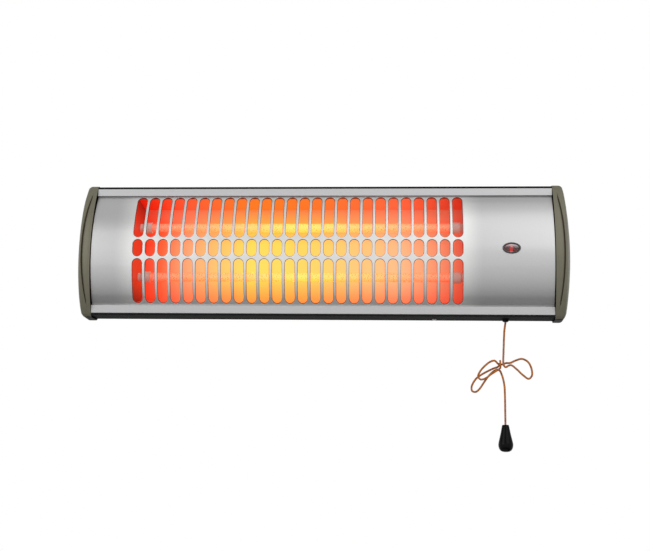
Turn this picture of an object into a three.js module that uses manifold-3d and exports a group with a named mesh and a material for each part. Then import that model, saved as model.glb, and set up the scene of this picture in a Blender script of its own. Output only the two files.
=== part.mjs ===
// A wall-hung electric bar heater: two quartz tubes in a reflector trough behind a curved,
// slotted front panel, with moulded end caps, a tilting wall bracket and a pull-cord switch.
// Millimetres. +X is to the right seen from the front, +Y goes into the wall, +Z is up.
// The origin is the middle of the wall bracket's back face.

import * as THREE from 'three';
import { mergeVertices } from 'three/addons/utils/BufferGeometryUtils.js';
import Module from 'manifold-3d';

const wasm = await Module();
wasm.setup();

// Overall sizes
const OVERALL_LENGTH = 550; // over the end caps
const CAP_WIDTH = 18.5; // of one end cap, along the heater
const CASING_HEIGHT = 148;
const BACK_TO_WALL = 33; // from the casing's back to the wall
const CLEARANCE = 0.3; // between pieces that touch
const OVERCUT = 1; // how far a cutting shape runs past what it cuts

// Rear casing, as depths behind the crown of the panel
const CASING_WALL = 1; // doubled by the hem along its two front edges
const CASING_FRONT = 17.5;
const CASING_SHOULDER = 43; // where the top and bottom start to taper
const CASING_BACK = 85;
const CASING_BACK_HEIGHT = 94;

// Front panel: a curved sheet with rows of upright slots
const PANEL_RADIUS = 118;
const PANEL_SHEET = 1;
const PANEL_TO_CASING = 8; // from the panel's long edges to the casing's top and bottom
const PANEL_ARC_STEPS = 6;
const GRILLE_TO_LEFT = 47.7; // from the body's left end to the first column
const GRILLE_TO_RIGHT = 100.1;
const SLOT_PITCH = 14.18;
const SLOT_WIDTH = 10.7;
const SLOT_END_STEPS = 2;
const SLOT_TOP_MARGIN = 4.8; // from the panel's edge to the upper row
const SLOT_BOTTOM_MARGIN = 5.6;
const MIDDLE_ROW = { low: -10.5, high: 8.4 };
const ROW_BAR = 3; // between two rows

// Trim strips along the panel's two long edges
const STRIP_OVERLAP = 2.8; // over the panel
const STRIP_THICKNESS = 1.5;
const STRIP_EDGE_THICKNESS = 2.3; // of the edge that presses on the panel
const STRIP_RETURN = 8.8; // back along the casing's inside

// End caps
const CAP_PROUD = 2; // past the casing, above, below and behind
const CAP_FRONT_RADIUS = 150;
const CAP_FRONT_PROUD = 1.5; // in front of the crown of the panel
const CAP_OUTLINE_STEP = 16; // longest straight edge of its outline
const CAP_MIDDLE_DEPTH = 43; // of the point that its outline narrows toward
const CAP_RINGS = [[1, 0.88], [0.985, 0.96], [0.95, 1], [0.6, 1]]; // share of the outline, of the reach
const CAP_WIDEST_DEPTH = 28;
const CAP_FALL_TO_FRONT = 6; // of its side, from the widest place to the crown of the panel
const CAP_FALL_TO_TOP = 5; // of its side, at the scoop's top
const CAP_WALL = 3;
const CAP_HOLLOW = 6.5; // from its inner face
const CAP_SPIGOT_WALL = 1.7;
const CAP_SPIGOT_LENGTH = 8;
const CAP_SPIGOT_SETBACK = 2; // behind the strips' return
const SCOOP_DEPTH = 1;
const SCOOP_TOP = 64;
const SCOOP_BOTTOM = -64;
const SCOOP_EDGE_MARGIN = 8.2; // from the groove's bulge to the cap's side
const SCOOP_END_MARGIN = 4.5; // from the scoop's two ends to the cap's inner edge
const SCOOP_INNER_MARGIN = 2.5; // from the scoop's inner side to the cap's inner edge
const SCOOP_STEPS = 8;

// Reflector trough
const REFLECTOR_SHEET = 0.8;
const REFLECTOR_TO_PANEL = 2.5;
const REFLECTOR_TOP = 61;
const REFLECTOR_BOTTOM = -60.5;
const REFLECTOR_FLAT = 20; // half the height of its flat back
const REFLECTOR_TOP_BEND = { depth: 13, height: 58 }; // ahead of the flat back
const REFLECTOR_BOTTOM_BEND = { depth: 12, height: -51 };

// Heating tubes
const TUBE_INSET = 11.6; // of the glass from each end of the grille
const TUBE_OFFSET = 1.5; // of the tubes' middle from the grille's
const TUBE_RADIUS = 5;
const TUBE_GLASS = 1;
const TUBE_DEPTH = 38;
const TUBE_SPACING = 57.5;
const TUBE_MID_HEIGHT = 2.5;
const COIL_RADIUS = 3;
const CERAMIC_FLANGE_RADIUS = 6.4;
const CERAMIC_FLANGE = 8.8;
const CERAMIC_NECK_RADIUS = 4.8;
const CERAMIC_COLLAR = 4.5; // of the neck, from the flange to the plate
const CERAMIC_NECK = 7.5;
const CERAMIC_PLUG = 6; // inside the glass
const TERMINAL_RADIUS = 1.5;
const TERMINAL_PROUD = 6;

// The plates that carry the tubes and the reflector
const PLATE_SHEET = 1.6;
const PLATE_TO_BACK = 15; // from the plate's back edge to the casing's back
const PLATE_TO_REFLECTOR = 2; // behind the reflector
const PLATE_TO_PANEL = 1.2;
const PLATE_SHOULDER_DROP = 4; // from the panel's edge

// Indicator light
const INDICATOR_TO_END = 47.5; // of the body
const INDICATOR_Z = -1.1;
const BEZEL_LENGTH = 20;
const BEZEL_HEIGHT = 12.5;
const BEZEL_FLANGE = 1.2;
const BEZEL_RIM = 1.8;
const BEZEL_BODY_INSET = 1.4; // of the body behind the flange
const BEZEL_BODY_DEPTH = 9;
const LENS_PROUD = 0.6;
const LENS_THICKNESS = 1.6;
const LAMP_RADIUS = 1.3;
const LAMP_LENGTH = 6.4;
const LAMP_HOLDER_LENGTH = 3;

// Wall bracket and pivots
const PIVOT_TO_WALL = 18;
const BRACKET_SHEET = 2;
const BRACKET_HEIGHT = 44;
const EAR_RADIUS = 9;
const LUG_SPAN = 244; // over the two lugs' outer faces
const LUG_FOOT = 18;
const LUG_FOOT_HEIGHT = 30;
const BOLT_RADIUS = 2.9;
const BOLT_HEAD_RADIUS = 5;
const BOLT_HEAD = 3;
const NUT_RADIUS = 5;
const NUT_THICKNESS = 4;
const WALL_SLOT_SPACING = 160;
const WALL_SLOT_LENGTH = 14;
const WALL_SLOT_WIDTH = 5.5;

// Pull-cord switch, standing on the casing's floor above the cord's bush
const CORD_TO_END = 52.5; // of the body
const CORD_DEPTH = 33;
const CORD_DIAMETER = 2.2;
const SWITCH_WALL = 2;
const SWITCH_TOP = 8;
const SWITCH_OVERHANG = 9; // of the housing past the cord
const SWITCH_PAST_PIN = 10;
const SWITCH_SIDE_ROOM = 0.6; // beside the drum
const SWITCH_HEAD_ROOM = 2.7; // above the ferrule
const LEVER_ARM = 15;
const LEVER_THICKNESS = 2;
const LEVER_FORK_ROOM = 1; // from the fork to the housing's walls
const LEVER_HUB_RADIUS = 3.6;
const LEVER_HUB_WIDTH = 2.4;
const LEVER_TIP = 4; // past the cord
const LEVER_PIN_RADIUS = 1.5;
const LEVER_PIN_HEIGHT = 17; // above the casing's floor
const DRUM_RADIUS = 5.2;
const DRUM_WIDTH = 2.4;
const DRUM_TEETH = 12;
const DRUM_TOOTH_DEPTH = 0.9;
const SPRING_RADIUS = 3;
const SPRING_WALL = 1;
const SPRING_WIDTH = 2.4;
const FERRULE_RADIUS = 2.6;
const FERRULE_HEIGHT = 4;

// Bush, pull cord and knob
const BUSH_RADIUS = 4.4;
const BUSH_DOME = 1.7;
const BUSH_MOUTH_RADIUS = 2.6;
const BUSH_SHOULDER = { radius: 4, height: 0.7 };
const BUSH_BODY_RADIUS = 3;
const BUSH_BODY_LENGTH = 5;
const SWING_GAP = 0.7; // between the cord in the bush and the cord that swings below it
const CORD_SIDES = 8;
const BOW_SIDES = 6;
const CORD_STEP = 5.5;
const BOW_STEPS = 90;
const KNOB_TOP_RADIUS = 3.7;
const KNOB_RADIUS = 8;
const KNOB_LENGTH = 29;
const KNOB_SHOULDER = 20; // from the top to the widest place
const KNOB_DROP = 113.8; // from the bush's mouth to the knob's top
const KNOB_STEPS = 4;

// Route of the pull cord, as (x, depth, height) from the middle of the bush's mouth
const UPPER_ROUTE = [
  [-1.4, 0, -9.9],
  [-2.1, 0, -19.9],
  [-2.6, -0.2, -29.9],
];
const BOW_START = [-3.1, -1, -38.8];
const BOW_ROUTE = [
  [-3.4, -2.4, -43],
  [-3.6, -3.7, -46.4],
  [-3, -3.7, -49.6],
  [-0.8, -2.8, -51.4],
  [1.8, -1.8, -49.8],
  [5.2, -1.4, -49],
  [10.9, -1, -53.2],
  [17.8, -0.6, -59.7],
  [23.8, 0, -63.5],
  [27.4, 0.6, -60.3],
  [27.5, 1.2, -53.2],
  [23.9, 1.6, -45.1],
  [17.3, 1.8, -41.5],
  [10.2, 1.8, -43.4],
  [4.2, 1.6, -46.1],
  [-0.2, 1.2, -46.4],
  [-4.6, 0.4, -48],
  [-8.8, -0.2, -47.4],
  [-12.6, -1.6, -44.2],
  [-17.6, -2.8, -45.6],
  [-23.9, -3.4, -50.6],
  [-28.9, -3.8, -56.6],
  [-31, -4.2, -61.9],
  [-28.6, -4.2, -65.1],
  [-23.6, -4, -64.2],
  [-17.4, -3.4, -59.7],
  [-11, -2.4, -55.4],
  [-6.8, -0.8, -52.2],
  [-6.8, -3.8, -48.4],
  [-6.6, -0.4, -44.2],
  [-6.4, 3.8, -47],
  [-8.8, 5.2, -50],
  [-13.3, 5.2, -51.7],
  [-21.2, 5, -55.6],
  [-27.5, 4.6, -59.3],
  [-31.7, 4.2, -62.4],
  [-35.5, 3.6, -67.3],
  [-37.8, 2.8, -72.9],
  [-37.2, 2, -77.2],
  [-33.5, 1.4, -78.2],
  [-29.2, 1, -74.8],
  [-24.8, 0.8, -68.4],
  [-20.8, 1, -62.7],
  [-16.6, 1.4, -57.8],
  [-12.6, 2, -54.6],
  [-9.1, 2.6, -53.4],
  [-6.7, 2.4, -54.9],
];
const BOW_END = [-5.4, 1.6, -57.9];
const LOWER_ROUTE = [
  [-3.8, 0.4, -63.4],
  [-2.4, 0, -71.6],
  [-2, 0, -84.2],
  [-2, 0, -99.8],
];

// Electrical pieces behind the plain end of the panel
const TERMINAL_BLOCK = { length: 24, depth: 14, height: 18, z: 19 };
const BLOCK_TO_SPIGOT = 3.5; // of the right end cap
const BLOCK_HOLE_RADIUS = 2;
const BLOCK_HOLE_DEPTH = 7;
const BLOCK_WAYS = 3;
const CUTOUT_RADIUS = 8;
const CUTOUT_THICKNESS = 7;
const CUTOUT_DEPTH = 54;
const GLAND_TO_SPIGOT = 5.5;
const GLAND_Z = -22;
const GLAND_FLANGE_RADIUS = 9;
const GLAND_FLANGE = 4;
const GLAND_BODY_RADIUS = 6;
const GLAND_BODY_LENGTH = 12;
const GLAND_BORE_RADIUS = 3.6;
const LEAD_RADIUS = 1.1;
const LEAD_STEPS = 12;
const LEAD_BEND = 8; // how far a lead runs on from a terminal before it turns
const LEAD_BEHIND = { toBack: 8, height: -32 }; // its corridor behind the reflector
const SWITCH_ENTRIES = { upper: 2, lower: -5, supply: 14 }; // along the switch's top from the cord
const CASING_SCREW_X = 125.7;
const CASING_SCREW_DEPTH = 33;
const SCREW_HEAD_RADIUS = 2.4;
const SCREW_CROWN_RADIUS = 1.7;
const SCREW_HEAD = 1.1;
const SCREW_RADIUS = 1.4;
const SCREW_LENGTH = 6;

const ROUND_STEPS = 24;
const SMALL_ROUND_STEPS = 16;

// What follows from the sizes above
const BODY_LENGTH = OVERALL_LENGTH - 2 * CAP_WIDTH;
const BODY_END = BODY_LENGTH / 2 - CLEARANCE;
const CASING_TOP = CASING_HEIGHT / 2;
const CASING_FLOOR = -CASING_TOP + CASING_WALL;
const SPIGOT_END = BODY_LENGTH / 2 - CAP_SPIGOT_LENGTH;
const DEPTH_TO_WALL = CASING_BACK + BACK_TO_WALL; // from the crown of the panel
const PIVOT_DEPTH = DEPTH_TO_WALL - PIVOT_TO_WALL;
const PANEL_HALF_HEIGHT = CASING_TOP - PANEL_TO_CASING;
const STRIP_INNER_HEIGHT = PANEL_HALF_HEIGHT - STRIP_OVERLAP;
const STRIP_OUTER_HEIGHT = CASING_TOP - 2 * CASING_WALL - CLEARANCE;
const STRIP_FRONT = CASING_FRONT - CLEARANCE;
const STRIP_BACK = STRIP_FRONT + STRIP_RETURN;
const GRILLE_LENGTH = BODY_LENGTH - GRILLE_TO_LEFT - GRILLE_TO_RIGHT;
const GRILLE_CENTRE_X = (GRILLE_TO_LEFT - GRILLE_TO_RIGHT) / 2;
const SLOT_COLUMNS = Math.round((GRILLE_LENGTH - SLOT_WIDTH) / SLOT_PITCH) + 1;
const SLOT_ROWS = [
  { low: MIDDLE_ROW.high + ROW_BAR, high: PANEL_HALF_HEIGHT - SLOT_TOP_MARGIN },
  MIDDLE_ROW,
  { low: SLOT_BOTTOM_MARGIN - PANEL_HALF_HEIGHT, high: MIDDLE_ROW.low - ROW_BAR },
];
const INDICATOR_X = BODY_LENGTH / 2 - INDICATOR_TO_END;
const PLATE_BACK = CASING_BACK - PLATE_TO_BACK;
const REFLECTOR_BACK = PLATE_BACK - PLATE_TO_REFLECTOR;
const TUBE_LENGTH = GRILLE_LENGTH - 2 * TUBE_INSET;
const TUBE_CENTRE_X = GRILLE_CENTRE_X + TUBE_OFFSET;
const TUBE_HEIGHTS = {
  upper: TUBE_MID_HEIGHT + TUBE_SPACING / 2,
  lower: TUBE_MID_HEIGHT - TUBE_SPACING / 2,
};
const PLATE_FACE = TUBE_LENGTH / 2 + CLEARANCE + CERAMIC_FLANGE + CERAMIC_COLLAR; // from the tubes' middle
const TERMINAL_END = PLATE_FACE + CERAMIC_NECK + TERMINAL_PROUD;
const CORD_X = BODY_LENGTH / 2 - CORD_TO_END;
const PIN_X = CORD_X + LEVER_ARM;
const PIN_HEIGHT = CASING_FLOOR + LEVER_PIN_HEIGHT;
const FERRULE_BOTTOM = PIN_HEIGHT + LEVER_THICKNESS / 2 + 2 * CLEARANCE;
const SWITCH_ROOM_TOP = FERRULE_BOTTOM + FERRULE_HEIGHT + SWITCH_HEAD_ROOM;
const SWITCH_ROOM_HALF = LEVER_HUB_WIDTH / 2 + CLEARANCE + DRUM_WIDTH + SWITCH_SIDE_ROOM;
const SWITCH_HALF = SWITCH_ROOM_HALF + SWITCH_WALL;
const BUSH_MOUTH = -CASING_TOP - CLEARANCE - BUSH_DOME;
const GLAND_X = SPIGOT_END - GLAND_TO_SPIGOT - GLAND_FLANGE_RADIUS;
const KNOB_X = LOWER_ROUTE[LOWER_ROUTE.length - 1][0]; // from the bush
const BLOCK_X = SPIGOT_END - BLOCK_TO_SPIGOT - TERMINAL_BLOCK.length / 2;
const BLOCK_BACK = CASING_BACK - CASING_WALL - CLEARANCE;
const BLOCK_FRONT = BLOCK_BACK - TERMINAL_BLOCK.depth;

const SIDES = { left: -1, right: 1 };
const UP = new THREE.Vector3(0, 0, 1);
const PROFILE_ALONG_X = new THREE.Matrix4().makeBasis(
  new THREE.Vector3(0, 1, 0),
  UP,
  new THREE.Vector3(1, 0, 0),
);
const OUTLINE_ALONG_Y = new THREE.Matrix4().makeBasis(
  new THREE.Vector3(1, 0, 0),
  UP,
  new THREE.Vector3(0, -1, 0),
);

const MATERIALS = {
  panel: { color: 0xc3c4c5, roughness: 0.34, metalness: 0.8 },
  strip: { color: 0xd6d6d8, roughness: 0.4, metalness: 0.6 },
  casing: { color: 0x15161a, roughness: 0.5, metalness: 0.2 },
  cap: { color: 0x77745f, roughness: 0.42, metalness: 0.35 },
  mirror: { color: 0xdadada, roughness: 0.16, metalness: 1 },
  steel: { color: 0x9a9b9d, roughness: 0.35, metalness: 0.9 },
  quartz: { color: 0xffb070, roughness: 0.25, metalness: 0 },
  element: { color: 0xff6a1a, roughness: 0.5, metalness: 0.3 },
  ceramic: { color: 0xf0ece2, roughness: 0.6, metalness: 0 },
  blackPlastic: { color: 0x121212, roughness: 0.25, metalness: 0 },
  lens: { color: 0x2a0808, roughness: 0.08, metalness: 0 },
  lamp: { color: 0xff3020, roughness: 0.3, metalness: 0 },
  nylon: { color: 0xe4e2da, roughness: 0.5, metalness: 0 },
  brass: { color: 0xb58b3c, roughness: 0.3, metalness: 0.9 },
  cord: { color: 0xd07a30, roughness: 0.85, metalness: 0 },
  insulation: { color: 0xc9c4b8, roughness: 0.7, metalness: 0 },
};

// Shapes and solids

function polygon(points) {
  return new THREE.Shape(points.map(([a, b]) => new THREE.Vector2(a, b)));
}

function sweep(shape, low, high, matrix, steps) {
  const options = { depth: high - low, bevelEnabled: false, curveSegments: steps };
  return new THREE.ExtrudeGeometry(shape, options).applyMatrix4(matrix);
}

function alongX(shape, low, high, steps = ROUND_STEPS / 4) {
  return sweep(shape, low, high, PROFILE_ALONG_X, steps).translate(low, 0, 0);
}

function alongY(shape, low, high, steps = ROUND_STEPS / 4) {
  return sweep(shape, low, high, OUTLINE_ALONG_Y, steps).translate(0, high, 0);
}

function block(x, y, z) {
  const size = [x, y, z].map(([low, high]) => high - low);
  const middle = [x, y, z].map(([low, high]) => (low + high) / 2);
  return new THREE.BoxGeometry(...size).translate(...middle);
}

// A turned piece from (radius, distance) points, along the given axis.
function turned(points, axis, steps = ROUND_STEPS) {
  const outline = points.map(([radius, along]) => new THREE.Vector2(radius, along));
  const turn = new THREE.Quaternion().setFromUnitVectors(new THREE.Vector3(0, 1, 0), axis);
  return new THREE.LatheGeometry(outline, steps).applyQuaternion(turn);
}

function rod(radius, low, high, axis, steps = ROUND_STEPS) {
  return turned([[0, low], [radius, low], [radius, high], [0, high]], axis, steps);
}

function ring(inner, outer, low, high, axis, steps = ROUND_STEPS) {
  return turned([[inner, low], [outer, low], [outer, high], [inner, high], [inner, low]], axis, steps);
}

const AXIS = { x: new THREE.Vector3(1, 0, 0), y: new THREE.Vector3(0, 1, 0), z: UP };

function solid(geometry) {
  const bare = geometry.clone();
  bare.deleteAttribute('normal');
  bare.deleteAttribute('uv');
  const merged = mergeVertices(bare, 1e-4);
  const mesh = new wasm.Mesh({
    numProp: 3,
    vertProperties: new Float32Array(merged.attributes.position.array),
    triVerts: new Uint32Array(merged.index.array),
  });
  return new wasm.Manifold(mesh);
}

function geometryOf(manifold) {
  const mesh = manifold.getMesh();
  const geometry = new THREE.BufferGeometry();
  geometry.setAttribute('position', new THREE.BufferAttribute(mesh.vertProperties, 3));
  geometry.setIndex(new THREE.BufferAttribute(mesh.triVerts, 1));
  geometry.computeVertexNormals();
  return geometry;
}

function join(...geometries) {
  return geometryOf(geometries.map(solid).reduce((whole, piece) => whole.add(piece)));
}

function cut(geometry, ...tools) {
  return geometryOf(tools.map(solid).reduce((whole, tool) => whole.subtract(tool), solid(geometry)));
}

// The corners of an open line of (depth, height) points, moved to its right by a distance.
function inset(points, distance) {
  const corners = points.map(([a, b]) => new THREE.Vector2(a, b));
  const ways = corners.slice(1).map((corner, i) => corner.clone().sub(corners[i]).normalize());
  return corners.map((corner, i) => {
    const before = ways[Math.max(i - 1, 0)];
    const after = ways[Math.min(i, ways.length - 1)];
    const across = new THREE.Vector2(before.y + after.y, -before.x - after.x).normalize();
    const reach = distance / (across.x * after.y - across.y * after.x);
    return [corner.x + across.x * reach, corner.y + across.y * reach];
  });
}

// A sheet that follows an open line, between two distances to its right.
function sheetProfile(points, near, far) {
  return polygon([...inset(points, near), ...inset(points, far).reverse()]);
}

function tubeAlong(curve, radius, sides, steps) {
  const section = new THREE.Shape();
  for (let i = 0; i < sides; i += 1) {
    const angle = (2 * Math.PI * i) / sides;
    const corner = [radius * Math.cos(angle), radius * Math.sin(angle)];
    if (i === 0) section.moveTo(...corner);
    else section.lineTo(...corner);
  }
  return new THREE.ExtrudeGeometry(section, { steps, extrudePath: curve, bevelEnabled: false });
}

function smoothCurve(points) {
  const knots = points.map((point) => new THREE.Vector3(...point));
  return new THREE.CatmullRomCurve3(knots, false, 'centripetal');
}

function stadium(x, low, high, width) {
  const radius = width / 2;
  const shape = new THREE.Shape();
  shape.absarc(x, high - radius, radius, 0, Math.PI, false);
  shape.absarc(x, low + radius, radius, Math.PI, 2 * Math.PI, false);
  return shape;
}

function oval(x, z, length, height) {
  const shape = new THREE.Shape();
  shape.absellipse(x, z, length / 2, height / 2, 0, 2 * Math.PI, false, 0);
  return shape;
}

// Rear casing

const CASING_LINE = [
  [CASING_FRONT, -CASING_TOP],
  [CASING_SHOULDER, -CASING_TOP],
  [CASING_BACK, -CASING_BACK_HEIGHT / 2],
  [CASING_BACK, CASING_BACK_HEIGHT / 2],
  [CASING_SHOULDER, CASING_TOP],
  [CASING_FRONT, CASING_TOP],
];

function rearCasing() {
  const shell = alongX(sheetProfile(CASING_LINE, -CASING_WALL, 0), -BODY_END, BODY_END);
  const floorSpan = [-CASING_TOP - OVERCUT, CASING_FLOOR + OVERCUT];
  const bushHole = rod(BUSH_BODY_RADIUS + CLEARANCE, ...floorSpan, AXIS.z).translate(CORD_X, CORD_DEPTH, 0);
  const screwHole = rod(SCREW_RADIUS + CLEARANCE, ...floorSpan, AXIS.z, SMALL_ROUND_STEPS);
  screwHole.translate(CASING_SCREW_X, CASING_SCREW_DEPTH, 0);
  const backSpan = [CASING_BACK - CASING_WALL - OVERCUT, CASING_BACK + OVERCUT];
  const glandHole = rod(GLAND_BODY_RADIUS + CLEARANCE, ...backSpan, AXIS.y).translate(GLAND_X, 0, GLAND_Z);
  const hems = [-1, 1].map((way) => {
    const heights = [way * (CASING_TOP - 2 * CASING_WALL), way * (CASING_TOP - CASING_WALL / 2)];
    return block(
      [-BODY_END, BODY_END],
      [CASING_FRONT, STRIP_BACK],
      [Math.min(...heights), Math.max(...heights)],
    );
  });
  return cut(join(shell, ...hems), bushHole, screwHole, glandHole);
}

// Front panel and its trim

function panelDepth(height) {
  return PANEL_RADIUS - Math.sqrt(PANEL_RADIUS ** 2 - height ** 2);
}

function panelSection(outerRadius, innerRadius) {
  const half = Math.asin(PANEL_HALF_HEIGHT / PANEL_RADIUS);
  const shape = new THREE.Shape();
  shape.absarc(PANEL_RADIUS, 0, outerRadius, Math.PI - half, Math.PI + half, false);
  shape.absarc(PANEL_RADIUS, 0, innerRadius, Math.PI + half, Math.PI - half, true);
  return shape;
}

function slotX(column) {
  return GRILLE_CENTRE_X + (column - (SLOT_COLUMNS - 1) / 2) * SLOT_PITCH;
}

function frontPanel() {
  const sheet = alongX(
    panelSection(PANEL_RADIUS, PANEL_RADIUS - PANEL_SHEET),
    -BODY_END,
    BODY_END,
    PANEL_ARC_STEPS,
  );
  const cuts = [];
  for (const row of SLOT_ROWS) {
    for (let column = 0; column < SLOT_COLUMNS; column += 1) {
      const outline = stadium(slotX(column), row.low, row.high, SLOT_WIDTH);
      cuts.push(alongY(outline, -PANEL_SHEET, CASING_SHOULDER, SLOT_END_STEPS));
    }
  }
  const body = bezelBody(CLEARANCE);
  cuts.push(alongY(body, -PANEL_SHEET, CASING_FRONT));
  return cut(sheet, ...cuts);
}

function trimStrip(way) {
  const seat = panelDepth(STRIP_INNER_HEIGHT) - CLEARANCE;
  const points = [
    [seat - STRIP_EDGE_THICKNESS, STRIP_INNER_HEIGHT],
    [STRIP_FRONT, STRIP_OUTER_HEIGHT],
    [STRIP_BACK, STRIP_OUTER_HEIGHT],
    [STRIP_BACK, STRIP_OUTER_HEIGHT - STRIP_THICKNESS],
    [STRIP_FRONT + STRIP_THICKNESS, STRIP_OUTER_HEIGHT - STRIP_THICKNESS],
    [seat, STRIP_INNER_HEIGHT],
  ];
  return alongX(polygon(points.map(([depth, height]) => [depth, way * height])), -BODY_END, BODY_END);
}

// End caps

function capFrontDepth(height) {
  return CAP_FRONT_RADIUS - CAP_FRONT_PROUD - Math.sqrt(CAP_FRONT_RADIUS ** 2 - height ** 2);
}

function capProfile() {
  const line = inset(CASING_LINE, CAP_PROUD);
  const top = CASING_TOP + CAP_PROUD;
  const half = Math.asin(top / CAP_FRONT_RADIUS);
  const centre = CAP_FRONT_RADIUS - CAP_FRONT_PROUD;
  const shape = new THREE.Shape();
  shape.absarc(centre, 0, CAP_FRONT_RADIUS, Math.PI - half, Math.PI + half, false);
  for (const [depth, height] of line.slice(1, -1)) shape.lineTo(depth, height);
  return shape;
}

// How far the cap's side stands out from its inner face.
function capReach(depth, height) {
  const ahead = Math.max(0, 1 - depth / CAP_WIDEST_DEPTH);
  return CAP_WIDTH - CAP_FALL_TO_FRONT * ahead ** 2 - CAP_FALL_TO_TOP * (height / SCOOP_TOP) ** 2;
}

// A closed solid through rings of equally many points, with one point at each end.
function lofted(start, rings, end) {
  const count = rings[0].length;
  const points = [start, ...rings.flat(), end];
  const last = 1 + (rings.length - 1) * count;
  const faces = [];
  for (let i = 0; i < count; i += 1) {
    const next = (i + 1) % count;
    faces.push(0, 1 + next, 1 + i);
    for (let ring = 0; ring < rings.length - 1; ring += 1) {
      const [a, b] = [1 + ring * count + i, 1 + ring * count + next];
      faces.push(a, b, b + count, a, b + count, a + count);
    }
    faces.push(points.length - 1, last + i, last + next);
  }
  const geometry = new THREE.BufferGeometry();
  geometry.setAttribute('position', new THREE.Float32BufferAttribute(points.flat(), 3));
  geometry.setIndex(faces);
  return geometry;
}

function capBlank(way) {
  const corners = capProfile().getPoints(PANEL_ARC_STEPS);
  const outline = corners.flatMap((corner, i) => {
    const next = corners[(i + 1) % corners.length];
    const parts = Math.ceil(corner.distanceTo(next) / CAP_OUTLINE_STEP);
    return [...Array(parts).keys()].map((k) => corner.clone().lerp(next, k / parts));
  });
  if (way < 0) outline.reverse();
  const inner = BODY_LENGTH / 2;
  const ring = (share, reachShare) => outline.map((corner) => {
    const depth = CAP_MIDDLE_DEPTH + (corner.x - CAP_MIDDLE_DEPTH) * share;
    const height = corner.y * share;
    return [way * (inner + capReach(depth, height) * reachShare), depth, height];
  });
  return lofted(
    [way * inner, CAP_MIDDLE_DEPTH, 0],
    [[1, 0], ...CAP_RINGS].map(([share, reachShare]) => ring(share, reachShare)),
    [way * (inner + capReach(CAP_MIDDLE_DEPTH, 0)), CAP_MIDDLE_DEPTH, 0],
  );
}

// A crescent in the cap's front, from near the inner edge out to a bulge and back.
function scoopOutline(way) {
  const inner = BODY_LENGTH / 2;
  const middle = (SCOOP_TOP + SCOOP_BOTTOM) / 2;
  const ends = way * (inner + SCOOP_END_MARGIN);
  const shape = new THREE.Shape();
  shape.moveTo(ends, SCOOP_TOP);
  const bulge = way * (2 * (inner + CAP_WIDTH - SCOOP_EDGE_MARGIN) - (inner + SCOOP_END_MARGIN));
  shape.quadraticCurveTo(bulge, middle, ends, SCOOP_BOTTOM);
  const hollow = way * (2 * (inner + SCOOP_INNER_MARGIN) - (inner + SCOOP_END_MARGIN));
  shape.quadraticCurveTo(hollow, middle, ends, SCOOP_TOP);
  return shape;
}

function endCap(way) {
  const inner = (way * BODY_LENGTH) / 2;
  const cap = capBlank(way);
  const scoop = cut(
    alongY(scoopOutline(way), -CAP_FRONT_RADIUS, CAP_FRONT_RADIUS / 2, SCOOP_STEPS),
    cap.clone().translate(0, SCOOP_DEPTH, 0),
  );
  const hollowFaces = [inner - way * OVERCUT, inner + way * CAP_HOLLOW];
  const hollowLine = inset(CASING_LINE, CAP_PROUD - CAP_WALL);
  hollowLine[0][0] = capFrontDepth(CASING_TOP) + CAP_WALL;
  hollowLine[hollowLine.length - 1][0] = hollowLine[0][0];
  const hollowFront = capFrontDepth(CASING_TOP / 2) + CAP_WALL;
  hollowLine.push([hollowFront, CASING_TOP / 2], [hollowFront, -CASING_TOP / 2]);
  const hollow = alongX(polygon(hollowLine), Math.min(...hollowFaces), Math.max(...hollowFaces));
  const spigotLine = CASING_LINE.map(([depth, height], i) => (
    i === 0 || i === CASING_LINE.length - 1 ? [STRIP_BACK + CAP_SPIGOT_SETBACK, height] : [depth, height]
  ));
  const outside = CASING_WALL + CLEARANCE;
  const inside = outside + CAP_SPIGOT_WALL;
  const spigotFaces = [inner - way * CAP_SPIGOT_LENGTH, inner];
  const spigot = alongX(
    sheetProfile(spigotLine, -inside, -outside),
    Math.min(...spigotFaces),
    Math.max(...spigotFaces),
  );
  const rootFaces = [inner, inner + way * CAP_WALL];
  const root = alongX(sheetProfile(spigotLine, -inside, 0), Math.min(...rootFaces), Math.max(...rootFaces));
  return join(cut(cap, scoop, hollow), root, spigot);
}

// Reflector, tube plates and heating tubes

function reflector() {
  const end = PLATE_FACE - CLEARANCE;
  const topFront = panelDepth(REFLECTOR_TOP) + PANEL_SHEET + REFLECTOR_TO_PANEL;
  const bottomFront = panelDepth(REFLECTOR_BOTTOM) + PANEL_SHEET + REFLECTOR_TO_PANEL;
  const profile = [
    [topFront, REFLECTOR_TOP],
    [REFLECTOR_BACK - REFLECTOR_TOP_BEND.depth, REFLECTOR_TOP_BEND.height],
    [REFLECTOR_BACK, REFLECTOR_FLAT],
    [REFLECTOR_BACK, -REFLECTOR_FLAT],
    [REFLECTOR_BACK - REFLECTOR_BOTTOM_BEND.depth, REFLECTOR_BOTTOM_BEND.height],
    [bottomFront, REFLECTOR_BOTTOM],
  ];
  const section = sheetProfile(profile, 0, REFLECTOR_SHEET);
  return alongX(section, TUBE_CENTRE_X - end, TUBE_CENTRE_X + end);
}

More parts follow.
